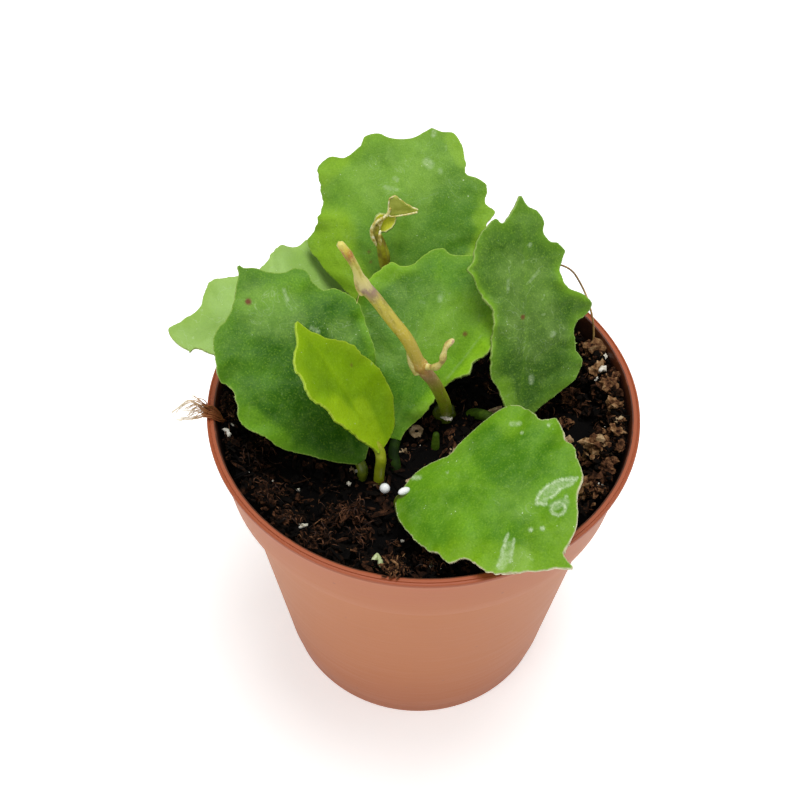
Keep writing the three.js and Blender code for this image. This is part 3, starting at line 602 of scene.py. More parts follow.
# On the right the mix was pushed up against the wall, so crumbs lie right up to the lip there.
for k in range(EDGE_CRUMBS):
    batches.append(bmesh.new())
    for _ in range(CRUMB_BATCH):
        turn, reach = chance.uniform(*EDGE_TURN), chance.uniform(*EDGE_REACH)
        look = SHRED if chance.random() < 0.3 else dict(ragged=0.6)
        crumb_at(batches[-1], (reach * math.cos(turn), reach * math.sin(turn)),
                 0.25 + 0.8 * chance.random() ** 2, chance.uniform(0, 1.4),
                 tone=0.1 + 0.5 * chance.random() ** 1.5, **look)
for x, y, spread, count in COIR_CLUMPS:
    batches.append(bmesh.new())
    for _ in range(count):
        crumb_at(batches[-1], (chance.gauss(x, spread / 2), chance.gauss(y, spread / 2)),
                 chance.uniform(0.3, 1.1), chance.uniform(0.3, 2.6) + 2 * (y < -39),
                 ceiling=POT_HEIGHT + 1.2 * (y < -39), tone=chance.uniform(0.25, 0.75), **SHRED)
# One clump was pressed over the front lip.
PRESSED_SHREDS = 120
PRESSED_FRONT = -43.4                # no shred hangs further forward than this
batches.append(bmesh.new())
for _ in range(PRESSED_SHREDS):
    x, y, z = chance.gauss(-5.6, 1.0), chance.gauss(-40.8, 1.1), chance.uniform(77.5, 81.6)
    if math.hypot(x, y) > LIP_START:
        z = max(z, POT_HEIGHT + 0.5)
    lump(batches[-1], (x, max(y, PRESSED_FRONT), z), chance.uniform(0.3, 0.9),
         tone=chance.uniform(0.3, 0.75), **SHRED)
finish_piece("bark_clods", joined(batches), [bark_crumb], weld=0.0001, smooth=False)

# %% [markdown]
# Perlite is glass blown up by heat into white grains. The larger ones lie where the photograph
# shows them, and a few tiny ones lie anywhere.

# %% Lay the perlite grains
TINY_GRAINS = 30
GRAINS = (                           # x, y, radius
    (-40.4, -7.5, 1.0), (-39.6, -4.7, 0.42), (-23.9, -28, 0.9), (0.8, -36.1, 0.95), (-4.2, -29.5, 0.42),
    (-25.5, -17.5, 0.35), (-31, -15, 0.3), (38.4, 9.6, 0.8), (37.2, 8.4, 0.6), (39.6, 14.6, 0.7),
    (33, 14.5, 0.4),
    (30.5, 7, 0.3), (26.4, 6.6, 0.4), (35.4, -19.8, 0.45), (35.9, -20.8, 0.5), (-13.8, -12.4, 0.5),
    (-15.2, -15.6, 0.5),
)
grain_shape = bmesh.new()
for x, y, radius in GRAINS:
    lump(grain_shape, (x, y, soil_height(x, y) + radius), radius, detail=2, ragged=1.1)
for _ in range(TINY_GRAINS):
    crumb_at(grain_shape, anywhere(), chance.uniform(0.12, 0.25), 1.0)
finish_piece("perlite_grains", grain_shape, [perlite])

# %% [markdown]
# The other bits are single finds: a smooth white ball of slow fertiliser, a husk curled into a
# ring with crumbs of the same tan, a sliver of wood, and a seed whose halves have come apart.

# %% Fertiliser ball, husks, sliver and seed
BALL_PLACE = (-7.8, -17.4, 72.4)
BALL_RADIUS = 1.08
HUSK_RING = (1.0, 0.55)              # radius of the ring, and of its round section
HUSK_PLACE = (-1.3, -2.2)
HUSK_CRUMBS = (                      # x, y, radius
    (-4.8, -7.2, 0.8), (-3.6, -6.6, 0.6), (6.5, -6.8, 0.9), (-2.9, -14.2, 0.7), (-14.6, -12.8, 0.9),
    (30.6, -4, 0.9), (39.6, 17.8, 0.9), (40.4, -3.5, 0.8), (22, 6, 0.6), (-12.9, -10.3, 0.6),
    (-9.9, -15.6, 0.5), (-8.2, -16, 0.4),
)
SLIVER_PLACE = (15.3, 3.9)
SEED_HALVES = ((-9.5, -36.6, -0.35), (-8.6, -36.4, 0.3))  # x, y, tilt

prill = earthy_finish("coated_fertiliser_white", ((0.3, "#eef0ee"), (0.7, "#fbfcfb")), 2, 0.6, 0.35, 0.1)
prill_shape = bmesh.new()
lump(prill_shape, BALL_PLACE, BALL_RADIUS, (0.9, 1), (0.9, 1), 3, 0.05)
finish_piece("fertiliser_ball", prill_shape, [prill])

husk = earthy_finish("dry_husk_tan", (
    (0.35, "#6b5439"), (0.5, "#a48a66"), (0.65, "#cdb792")), 1.6, 0.4, 0.8, 0.8)
husk_shape = bmesh.new()
upright = Matrix.Translation((HUSK_RING[0], 0, 0)) @ Matrix.Rotation(math.pi / 2, 4, "X")
ring = bmesh.ops.create_circle(husk_shape, segments=12, radius=HUSK_RING[1], matrix=upright)
bmesh.ops.spin(husk_shape, geom=ring["verts"] + husk_shape.edges[:], cent=(0, 0, 0), axis=(0, 0, 1),
               angle=2 * math.pi, steps=24, use_merge=True)
for corner in husk_shape.verts:
    corner.co *= 1 + 0.3 * noise.noise(corner.co * 1.2)
bmesh.ops.translate(husk_shape, verts=husk_shape.verts, vec=(*HUSK_PLACE, soil_height(*HUSK_PLACE) + 1.6))
for x, y, radius in HUSK_CRUMBS:
    lump(husk_shape, (x, y, soil_height(x, y) + radius), radius, detail=2, ragged=1.1)
lump(husk_shape, (*SLIVER_PLACE, soil_height(*SLIVER_PLACE) + 1.4), 2.6, (0.2, 0.3), (0.1, 0.2), 2, 0.4)
finish_piece("dry_husks", husk_shape, [husk])

seed_coat = earthy_finish("split_seed_pale_green", (
    (0.35, "#8a9a5c"), (0.5, "#b3bf86"), (0.7, "#dde2bc")), 1, 0.3, 0.5, 0.3)
seed_shape = bmesh.new()
for x, y, tilt in SEED_HALVES:
    bmesh.ops.create_icosphere(
        seed_shape, subdivisions=3, radius=1.6,
        matrix=Matrix.Translation((x, y, soil_height(x, y) + 1.2)) @ Matrix.Rotation(tilt, 4, "Z")
        @ Matrix.Rotation(0.25, 4, "X") @ Matrix.Diagonal((0.42, 1.0, 0.5, 1)))
# the halves close towards their far end
for corner in seed_shape.verts:
    ahead = max(corner.co.y + 36.2, 0)
    corner.co.x = -9 + (corner.co.x + 9) * (1 - 0.45 * min(ahead / 1.4, 1))
finish_piece("split_seed", seed_shape, [seed_coat])

# %% [markdown]
# ## Fibres and stems as curves
# A fibre, a stalk and a stem are all the same idea: a round section carried along a route, with a
# thickness that changes on the way. Blender's curve object does this with a bevel depth and a
# radius at each point. One function makes a mesh from any number of such routes.

# %% Helper for round rods
ROUTE_STEPS = 24                     # fine points between two given ones


def smooth_route(points, count):
    """Evenly spaced points on a centripetal Catmull-Rom curve through the given ones."""
    given = [Vector(point) for point in points]
    padded = [2 * given[0] - given[1], *given, 2 * given[-1] - given[-2]]
    fine = [given[0]]
    for before, start, end, after in zip(padded, padded[1:], padded[2:], padded[3:]):
        first, span, last = [max(math.sqrt((b - a).length), 1e-6)
                             for a, b in ((before, start), (start, end), (end, after))]
        leave = ((start - before) / first - (end - before) / (first + span) + (end - start) / span) * span
        arrive = ((end - start) / span - (after - start) / (span + last) + (after - end) / last) * span
        for k in range(1, ROUTE_STEPS + 1):
            t = k / ROUTE_STEPS
            fine.append(start * (2 * t ** 3 - 3 * t ** 2 + 1) + leave * (t ** 3 - 2 * t ** 2 + t)
                        + end * (3 * t ** 2 - 2 * t ** 3) + arrive * (t ** 3 - t ** 2))
    walked = [0.0]
    for a, b in zip(fine, fine[1:]):
        walked.append(walked[-1] + (b - a).length)
    route, at = [], 0
    for k in range(count + 1):
        goal = walked[-1] * k / count
        while at < len(fine) - 2 and walked[at + 1] < goal:
            at += 1
        share = (goal - walked[at]) / max(walked[at + 1] - walked[at], 1e-9)
        route.append(fine[at].lerp(fine[at + 1], min(share, 1)))
    return route


def rods(routes, sides):
    """A bmesh of round rods. Each route is a list of points and a list of radii, in millimetres."""
    data = bpy.data.curves.new("rods", "CURVE")
    data.dimensions = "3D"
    data.bevel_depth = 1
    data.bevel_resolution = max(sides // 2 - 2, 0)
    data.use_fill_caps = True
    for points, radii in routes:
        spline = data.splines.new("POLY")
        spline.points.add(len(points) - 1)
        for point, centre, radius in zip(spline.points, points, radii):
            point.co = (*centre, 1)
            point.radius = radius
    holder = bpy.data.objects.new("rods", data)
    bpy.context.scene.collection.objects.link(holder)
    bpy.context.view_layer.update()
    mesh = bpy.data.meshes.new_from_object(holder.evaluated_get(bpy.context.evaluated_depsgraph_get()))
    shape = bmesh.new()
    shape.from_mesh(mesh)
    bpy.data.objects.remove(holder)
    bpy.data.curves.remove(data)
    bpy.data.meshes.remove(mesh)
    return shape


# %% [markdown]
# Short fibres lie all over the mix, with more of them in the coir tangles. Each one bends
# sideways and arches a little, so that it stands clear of the crumbs in places.

# %% Scatter coir and root fibres over the mix
LOOSE_FIBRES = 300
FIBRE_STEPS = 6
FIBRE_REACH = 40.6                   # fibres stay inside the wall


def soil_fibre(x, y, turn, length, radius, arch):
    """One fibre that lies on the mix, bends sideways and lifts in the middle."""
    bend = chance.uniform(-2.6, 2.6)
    points = []
    radii = []
    for k in range(FIBRE_STEPS + 1):
        share = k / FIBRE_STEPS
        heading = turn + bend * share
        points.append(Vector((x, y, soil_height(x, y) + 0.5 + arch * math.sin(math.pi * share))))
        radii.append(radius * (0.6 + 0.4 * math.sin(math.pi * k / FIBRE_STEPS)))
        x += length / FIBRE_STEPS * math.cos(heading)
        y += length / FIBRE_STEPS * math.sin(heading)
        pull = min(1, FIBRE_REACH / max(math.hypot(x, y), 1))
        x, y = x * pull, y * pull
    return points, radii


fibres = []
for _ in range(LOOSE_FIBRES):
    x, y = anywhere(39)
    fibres.append(soil_fibre(x, y, chance.uniform(0, 6.28), chance.uniform(1.2, 5),
                             chance.uniform(0.04, 0.12), chance.uniform(0, 0.9)))
for cx, cy, spread, count in COIR_CLUMPS:
    for _ in range(count // 5):
        x, y = chance.gauss(cx, spread / 2), chance.gauss(cy, spread / 2)
        fibres.append(soil_fibre(x, y, chance.uniform(0, 6.28), chance.uniform(1.2, 3.2),
                                 chance.uniform(0.05, 0.14), chance.uniform(0.6, 2.4)))
finish_piece("coir_fibres", rods(fibres, 4), [coconut_fibre], weld=0.0001)

# %% [markdown]
# ## The leaves
# A hoya leaf is thick and waxy, like a slice of leather: a short stalk, a faint midrib sunk in the
# upper face, and a margin of blunt teeth. Each one is described in its own flat frame. The two
# margins are lists of points, "along the midrib, out from it", and a few numbers set how the leaf
# stands and bends. `arch` bends it along its length, `cup` lifts its sides, `bow` carries the
# midrib sideways and `ripple` waves the margin. The stalk is listed with its leaf: the points
# that it passes on its way down to its `foot` in the mix.

# %% The seven leaves
LEAVES = {
    "leaf_back": dict(
        base=(-8.1, 17.9, 77), heading=15, rise=39.6, roll=0, length=48.6,
        arch=2, cup=-2, bow=-2, ripple=0.5,
        left=[(2.5, 3.4), (6.5, 6.8), (9.2, 10.4), (11.9, 14.6), (14.8, 18.5), (18.6, 22.4),
              (22.7, 21.2), (27.5, 20.7), (32.3, 22.5), (36, 23.6), (38.6, 21.7), (38.9, 18.3),
              (41.6, 15.4), (44.2, 14.4), (45.4, 11.7), (44.8, 8.5), (45.5, 4.2), (47.5, 1.5)],
        right=[(4, 4), (9, 7.5), (13.6, 9.8), (18.5, 12.8), (24, 15), (30.2, 16.4), (33.2, 17.3),
              (34.4, 15), (38.3, 14.6), (39.5, 12.2), (40, 9.6), (42.5, 8.8), (46, 7.2), (48.4, 4.8),
              (48.2, 2.2)],
        stalk=[(-9.4, 14.8, 74.6)], foot=(-10, 13.4), stalk_radius=1.3
    ),
    "leaf_back_left": dict(
        base=(-12.7, 27.9, 75), heading=-117, rise=12.3, roll=24, length=42.2,
        arch=3, cup=-2, bow=6, ripple=0.4,
        left=[(4, 5), (9, 9.5), (16, 11.5), (23, 10.5), (29, 8), (34, 4.5), (38.5, 1.4), (40.6, -0.3)],
        right=[(1.5, 7), (3, 15), (7.2, 21.2), (10.5, 19.9), (13.9, 20.8), (17.5, 18.5), (21, 15.7),
              (26.5, 14.3), (32.7, 14.8), (35.3, 12), (37.5, 8.8), (42, 7), (44.7, 6.2), (44.7, 4),
              (43.3, 1.4)],
        stalk=[(-10, 29.2, 74)], foot=(-8.6, 29.2), stalk_radius=1.2
    ),
    "leaf_front_left": dict(
        base=(-12.7, -12.7, 75), heading=-41, rise=34.9, roll=8, length=47.2,
        arch=2, cup=-1.5, bow=0, ripple=0.5,
        left=[(2.9, 4.7), (7.5, 9.3), (11.7, 13.1), (14.7, 14.2), (17.6, 16.1), (20.6, 16.8),
              (23.5, 15.6), (26.6, 14.9), (29.6, 15.9), (33.6, 14.4), (36.5, 12.9), (38.3, 10.8),
              (38.9, 8.3), (41, 5.3), (43.7, 2.8), (45.8, 0.9)],
        right=[(5, 6.3), (8.9, 9.8), (13.3, 12.5), (18.3, 14.6), (24.5, 16.4), (28, 17.2),
              (31.5, 15.9), (33.2, 14.8), (34, 12.6), (36, 11.4), (39.3, 11.4), (41, 9.6),
              (41.2, 7.6), (42.8, 4.8), (45.3, 2.4), (46.2, 0.8)],
        stalk=[(-12.4, -13.5, 73.4)], foot=(-12.6, -13.4), stalk_radius=1.1
    ),
    "leaf_young": dict(
        base=(-8.4, -14.2, 81), heading=-55, rise=51.4, roll=-8, length=32,
        arch=1, cup=4, bow=0, ripple=0.2,
        left=[(1.3, 1.5), (5.4, 3.5), (10, 5.5), (13.8, 6.8), (16, 7), (19.7, 8.7), (21.5, 8.7),
              (24.2, 7.6), (26.3, 7.4), (28.2, 5.4), (29.2, 3.1), (31.2, 1.2)],
        right=[(0.3, 3), (1.4, 5.9), (4.1, 7.7), (7.5, 9.2), (11, 9.6), (15.5, 9), (18.1, 8),
              (20.2, 7.6), (22.8, 6.2), (24.9, 3.9), (27.3, 2.3), (30, 0.8)],
        stalk=[(-8.6, -14.8, 78.8), (-8.9, -14.9, 75)], foot=(-9.1, -14.6), stalk_radius=1.08,
        rib_drop=0.75
    ),
    "leaf_middle": dict(
        base=(-5.8, -5.4, 73.3), heading=17, rise=36, roll=-3, length=41.6,
        arch=1.5, cup=1, bow=0, ripple=0.4,
        left=[(3.3, 4.1), (7.9, 7.3), (13.6, 10.5), (19.4, 13.2), (24, 14.8), (28, 14.9),
              (32.6, 12.9), (34.7, 11.1), (36.1, 9.8), (35.7, 7.8), (36.7, 5.5), (39.2, 3.7),
              (41, 1.9)],
        right=[(2.1, 1.7), (6.8, 4.9), (13, 7.6), (15, 9.3), (17.1, 12), (19.6, 12.3), (21.2, 14.3),
              (25.2, 15.2), (29.5, 14.4), (34, 13.8), (38.9, 13), (41.2, 10.3), (41.7, 7),
              (40.9, 3.5), (40.8, 1.4)],
        stalk=[(-6.1, -7.6, 71.8)], foot=(-5.6, -10.8), stalk_radius=1.15
    ),
    "leaf_right": dict(
        base=(19.4, -5.2, 76), heading=0, rise=44.3, roll=-18, length=48.7,
        arch=1, cup=-1.5, bow=1.5, ripple=0.4,
        left=[(1.5, 1.3), (5.3, 2.7), (9.1, 4.4), (11.6, 6), (15, 6.3), (21.3, 6.2), (25.3, 6.3),
              (27.4, 8), (30, 9.7), (32.4, 11), (33.4, 11.9), (35.2, 10.5), (38.1, 9.9), (40.8, 8.6),
              (43.9, 5.5), (43, 4.2), (44.5, 2.6), (46.9, 1)],
        right=[(1.9, 2.2), (5.1, 5.3), (8, 9.4), (11.7, 13.8), (14.5, 14.8), (17.2, 13.2),
              (19.7, 12.5), (22.7, 13.2), (24.6, 15.8), (26.6, 16.7), (28.6, 14.6), (30.2, 10.5),
              (32.4, 9), (35.6, 9.4), (37.5, 10), (39.3, 8.3), (39.6, 6.5), (41.5, 5.2), (43.7, 5.3),
              (45.7, 3.8), (46.7, 1.6)],
        stalk=[(19.4, -7.2, 74)], foot=(19.2, -8.6), stalk_radius=1.2
    ),
    "leaf_front_right": dict(
        base=(-5.1, -23.4, 77.5), heading=124.3, rise=13.9, roll=-20, length=39.4,
        arch=1.5, cup=-1, bow=-8.5, ripple=0.4,
        left=[(0, 3), (0.8, 6), (3.1, 9.3), (5.9, 11.8), (6.6, 15), (9, 21), (12, 25.5), (15.2, 26.8),
              (18.8, 25.6), (20.3, 25.2), (22.2, 26.6), (25.2, 24.6), (26.8, 22.6), (28.6, 22.3),
              (30.8, 19.9), (33.3, 17), (34, 13.5), (35.6, 10.4), (36.8, 7.2), (36.9, 3.8),
              (36.8, 1.8), (38, 0.8)],
        right=[(0.8, 2.2), (2.8, 4.1), (6.9, 6.1), (11.5, 7.6), (14.6, 7.6), (16.6, 8.3), (18.4, 8.2),
              (20, 6.7), (22.5, 6.6), (25.5, 7.1), (29, 6.1), (33, 4), (36.5, 1.5), (38.3, 0.7)],
        stalk=[(-4.6, -23.6, 74.6)], foot=(-4, -23.9), stalk_radius=1.15
    ),
}
NECK_HALF_WIDTH = 1.1
TIP_HALF_WIDTH = 0.25
NICK_PER_MM = 0.75
NICK_DEPTH = 0.32
print("leaves:", len(LEAVES))


# %% [markdown]
# A point on a leaf is given by how far it lies along the midrib, `s`, and out from it, `t`. These
# helpers turn the leaf's numbers into three axes, carry the midrib sideways, and walk a margin.

# %% Helpers that place a point on a leaf
def leaf_axes(leaf):
    heading, rise, roll = [math.radians(leaf[key]) for key in ("heading", "rise", "roll")]
    along = Vector((math.sin(heading) * math.cos(rise), math.cos(heading) * math.cos(rise), math.sin(rise)))
    level = Vector((math.cos(heading), -math.sin(heading), 0))
    upright = level.cross(along)
    right = level * math.cos(roll) + upright * math.sin(roll)
    return along, right, upright * math.cos(roll) - level * math.sin(roll)


def rib_offset(leaf, s):
    return 4 * leaf.get("bow", 0) * s * (leaf["length"] - s) / leaf["length"] ** 2


def leaf_point(leaf, s, t, lift):
    along, right, up = leaf_axes(leaf)
    length = leaf["length"]
    height = 4 * leaf.get("arch", 0) * s * (length - s) / length ** 2 + leaf.get("cup", 0) * (t / 20) ** 2
    return Vector(leaf["base"]) + along * s + right * t + up * (height + lift)


def margin_line(leaf, side, count):
    """One margin, with the small nicks between its teeth that every grown margin has."""
    listed = leaf["left"] if side < 0 else leaf["right"]
    points = [(0, leaf.get("neck", NECK_HALF_WIDTH)), *listed, (leaf["length"], TIP_HALF_WIDTH)]
    route = smooth_route([(s, side * out, 0) for s, out in points], count)
    for k, point in enumerate(route):
        nick = noise.fractal(Vector((point.x, point.y, leaf["heading"])) * NICK_PER_MM, 0.9, 2.0, 3)
        point.y += side * NICK_DEPTH * nick * math.sin(math.pi * k / count) ** 0.5
    return route


# %% [markdown]
# The blade starts as its own flat outline, filled with one face. A narrow strip is inset along
# the margin, and the inside is then cut into small cells by parallel planes, lengthways and
# across. A grid stretched between the margins would be quicker, but it folds over itself where a
# tooth leans back; cutting the outline never does. At last every corner is lifted to its place.
#
# Small things decide whether a leaf looks grown: the midrib is a shallow groove, the blade swells
# a little between the side veins, some margins curl, and the face carries dried lime from hard
# water. The shape is moved for the first three. The last is stored as a number at each corner,
# which the material reads, so the marks stay on the leaf whatever the camera does.

# %% Helper that grows one blade
VEIN_SPACING = 6.5
OUTLINE_STEPS = 210
RIM_STRIP = 0.2
TRAITS = ("edge_mm", "along", "vein", "chalk", "painted_sheen", "speck", "deep_and_shade", "lime")


def smooth_step(value, low, high):
    share = min(max((value - low) / (high - low), 0), 1)
    return share * share * (3 - 2 * share)


def distance_to_path(s, t, path):
    spot = Vector((s, t))
    nearest = 1e9
    for start, end in zip(path, path[1:] or path):
        start, end = Vector(start), Vector(end)
        run = end - start
        share = (spot - start).dot(run) / max(run.length_squared, 1e-9)
        nearest = min(nearest, (spot - start - run * min(max(share, 0), 1)).length)
    return nearest


def cut_outline(leaf, cell):
    """The flat blade in its own frame: x runs along the midrib and y to the left of it."""
    shape = bmesh.new()
    right, left = margin_line(leaf, 1, OUTLINE_STEPS), margin_line(leaf, -1, OUTLINE_STEPS)
    ring = [shape.verts.new((point.x, -point.y, 0)) for point in [*right, *reversed(left)]]
    edges = [shape.edges.new(pair) for pair in zip(ring, ring[1:] + ring[:1])]
    bmesh.ops.contextual_create(shape, geom=edges)
    shape.normal_update()
    if shape.faces[:][0].normal.z < 0:
        bmesh.ops.reverse_faces(shape, faces=shape.faces[:])
    bmesh.ops.inset_region(shape, faces=shape.faces[:], thickness=RIM_STRIP, use_even_offset=True)
    reach = max(abs(corner.co.y) for corner in shape.verts)
    for axis, low, high in ((Vector((1, 0, 0)), -reach, 1.2 * leaf["length"]),
                            (Vector((0, 1, 0)), -reach, reach)):
        for k in range(1, int((high - low) / cell)):
            bmesh.ops.bisect_plane(shape, geom=shape.verts[:] + shape.edges[:] + shape.faces[:],
                                   plane_co=axis * (low + cell * k), plane_no=axis)
    bmesh.ops.triangulate(shape, faces=[face for face in shape.faces if len(face.verts) > 4])
    return shape, [*right, *left]


def mark_strength(near, width):
    """A mark is whole along its path and fades towards its border."""
    return 1 - smooth_step(near, 0.45 * width, width)


def fold_at(s, t, side, fold):
    """How far a spot lies beyond a crease, in millimetres, and how strong the crease is there."""
    fold_side, start, end = fold[:3]
    start, run = Vector(start), Vector(end) - Vector(start)
    length, along = run.length, run.normalized()
    outward = Vector((-along.y, along.x)) * fold_side
    away = Vector((s, t)) - start
    walked = away.dot(along)
    part = smooth_step(walked, -4, 1) * (1 - smooth_step(walked, length - 1, length + 4))
    return max(away.dot(outward), 0) * (side == fold_side), part


def grow_blade(leaf, cell, marks=(), curls=(), folds=(), quilting=0.14, ruffle=0.9):
    """An open sheet over the blade's upper face, with what the material needs to know."""
    shape, margin = cut_outline(leaf, cell)
    layers = {key: shape.verts.layers.float.new(key) for key in TRAITS}
    thinning = shape.verts.layers.deform.verify()
    outline = kdtree.KDTree(len(margin))
    for k, point in enumerate(margin):
        outline.insert(point, k)
    outline.balance()
    length, lean = leaf["length"], leaf["heading"]
    for corner in shape.verts:
        s, t = corner.co.x, -corner.co.y
        share = min(max(s / length, 0), 1)
        off_rib = t - rib_offset(leaf, s)
        side, off_rib = (1 if off_rib > 0 else -1), abs(off_rib)
        edge_distance = outline.find((s, t, 0))[2]
        across = off_rib / max(off_rib + edge_distance, 1e-6)
        fade = math.sin(math.pi * share)
        inside = smooth_step(edge_distance, 0, 3)
        row = (s - 0.75 * off_rib) / VEIN_SPACING
        vein = max(0, math.cos(2 * math.pi * row)) ** 16 * smooth_step(off_rib, 0.5, 3)
        wave = math.sin(2 * math.pi * (5 * share + side * across / 4))
        lift = leaf.get("ripple", 0) * across ** 2 * wave * fade
        lift -= 0.2 * math.exp(-(off_rib / 0.9) ** 2) * fade
        lift += quilting * (0.5 - 0.5 * math.cos(2 * math.pi * row)) * smooth_step(off_rib, 0, 5) * inside
        lift += 0.5 * noise.noise(Vector((s * 0.13, t * 0.13, lean))) * inside
        lift += 0.12 * noise.noise(Vector((s * 0.5, t * 0.5, lean))) * inside
        crimp = noise.noise(Vector((s * 0.3, side * 5, lean)))
        lift += ruffle * crimp * (1 - smooth_step(edge_distance, 0, 6)) * fade
        # painted light: a margin that curls or folds is painted a lighter lime here
        lime = 0
        for curl_side, start, end, reach, height in curls:
            if curl_side == side:
                part = smooth_step(share, start, start + 0.08) * (1 - smooth_step(share, end - 0.08, end))
                lift += height * part * (1 - smooth_step(edge_distance, 0, reach))
                lime = max(lime, 0.6 * part * (1 - smooth_step(edge_distance, 0.1 * reach, 0.7 * reach)))
        for fold in folds:
            beyond, part = fold_at(s, t, side, fold)
            lift += fold[3] * beyond * part
            lime = max(lime, 0.85 * part * smooth_step(beyond, 0, 1.2))
        corner[layers["lime"]] = lime
        corner[layers["edge_mm"]] = edge_distance
        corner[layers["along"]] = share
        corner[layers["vein"]] = max(0.6 * vein, math.exp(-(off_rib / 0.55) ** 2)) * inside
        for kind, width, strength, path in marks:
            near = distance_to_path(s, t, path)
            corner[layers[kind]] = max(corner[layers[kind]], strength * mark_strength(near, width))
        corner[thinning][0] = 1 - across ** 2
        corner.co = leaf_point(leaf, s, t, lift)
    return shape


def thicken(piece, thickness, edge_share):
    """Turns the sheet into a solid blade: the wall grows down from the face and thins to the rim."""
    piece.vertex_groups.new(name="thickness")
    wall = piece.modifiers.new("wall", "SOLIDIFY")
    wall.thickness = thickness * MM
    wall.offset = -1
    wall.vertex_group = "thickness"
    wall.thickness_vertex_group = edge_share
    wall.material_offset = 1
    wall.material_offset_rim = 2
    apply_modifiers(piece)


# %% [markdown]
# The upper skin is a waxy cuticle over green tissue. Its colour is built up in layers: the green,
# darker and lighter in patches a centimetre wide, with pale cells and dark pits in it; painted
# shade, darker towards the stalk and where a deep mark was stored; a lighter lime where a lime mark
# was stored, partly the leaf's own colour and partly painted light, and painted light where a
# margin curls or folds; faint veins; a paler rim where the blade is thin, painted light shining
# through it, with a thin edge line that is partly a painted highlight; a dull bloom of wax and
# painted sheen with fine curved scuffs; dots of lime; and crusts of dried water where a mark was
# stored. The shine comes from the cuticle, whose roughness is low and uneven, with the matt lime
# lying on top of it.

# %% Leaf finishes
PALE_CELL = "#9ec83c"
# the bloom colour stands for dull wax and for painted sheen
WAX_BLOOM_AND_SHEEN = "#9fc266"
LIME_SPECK = "#dcebc6"
DRIED_WATER = "#cbe0b4"
BROWN_SPECK = "#6e4426"


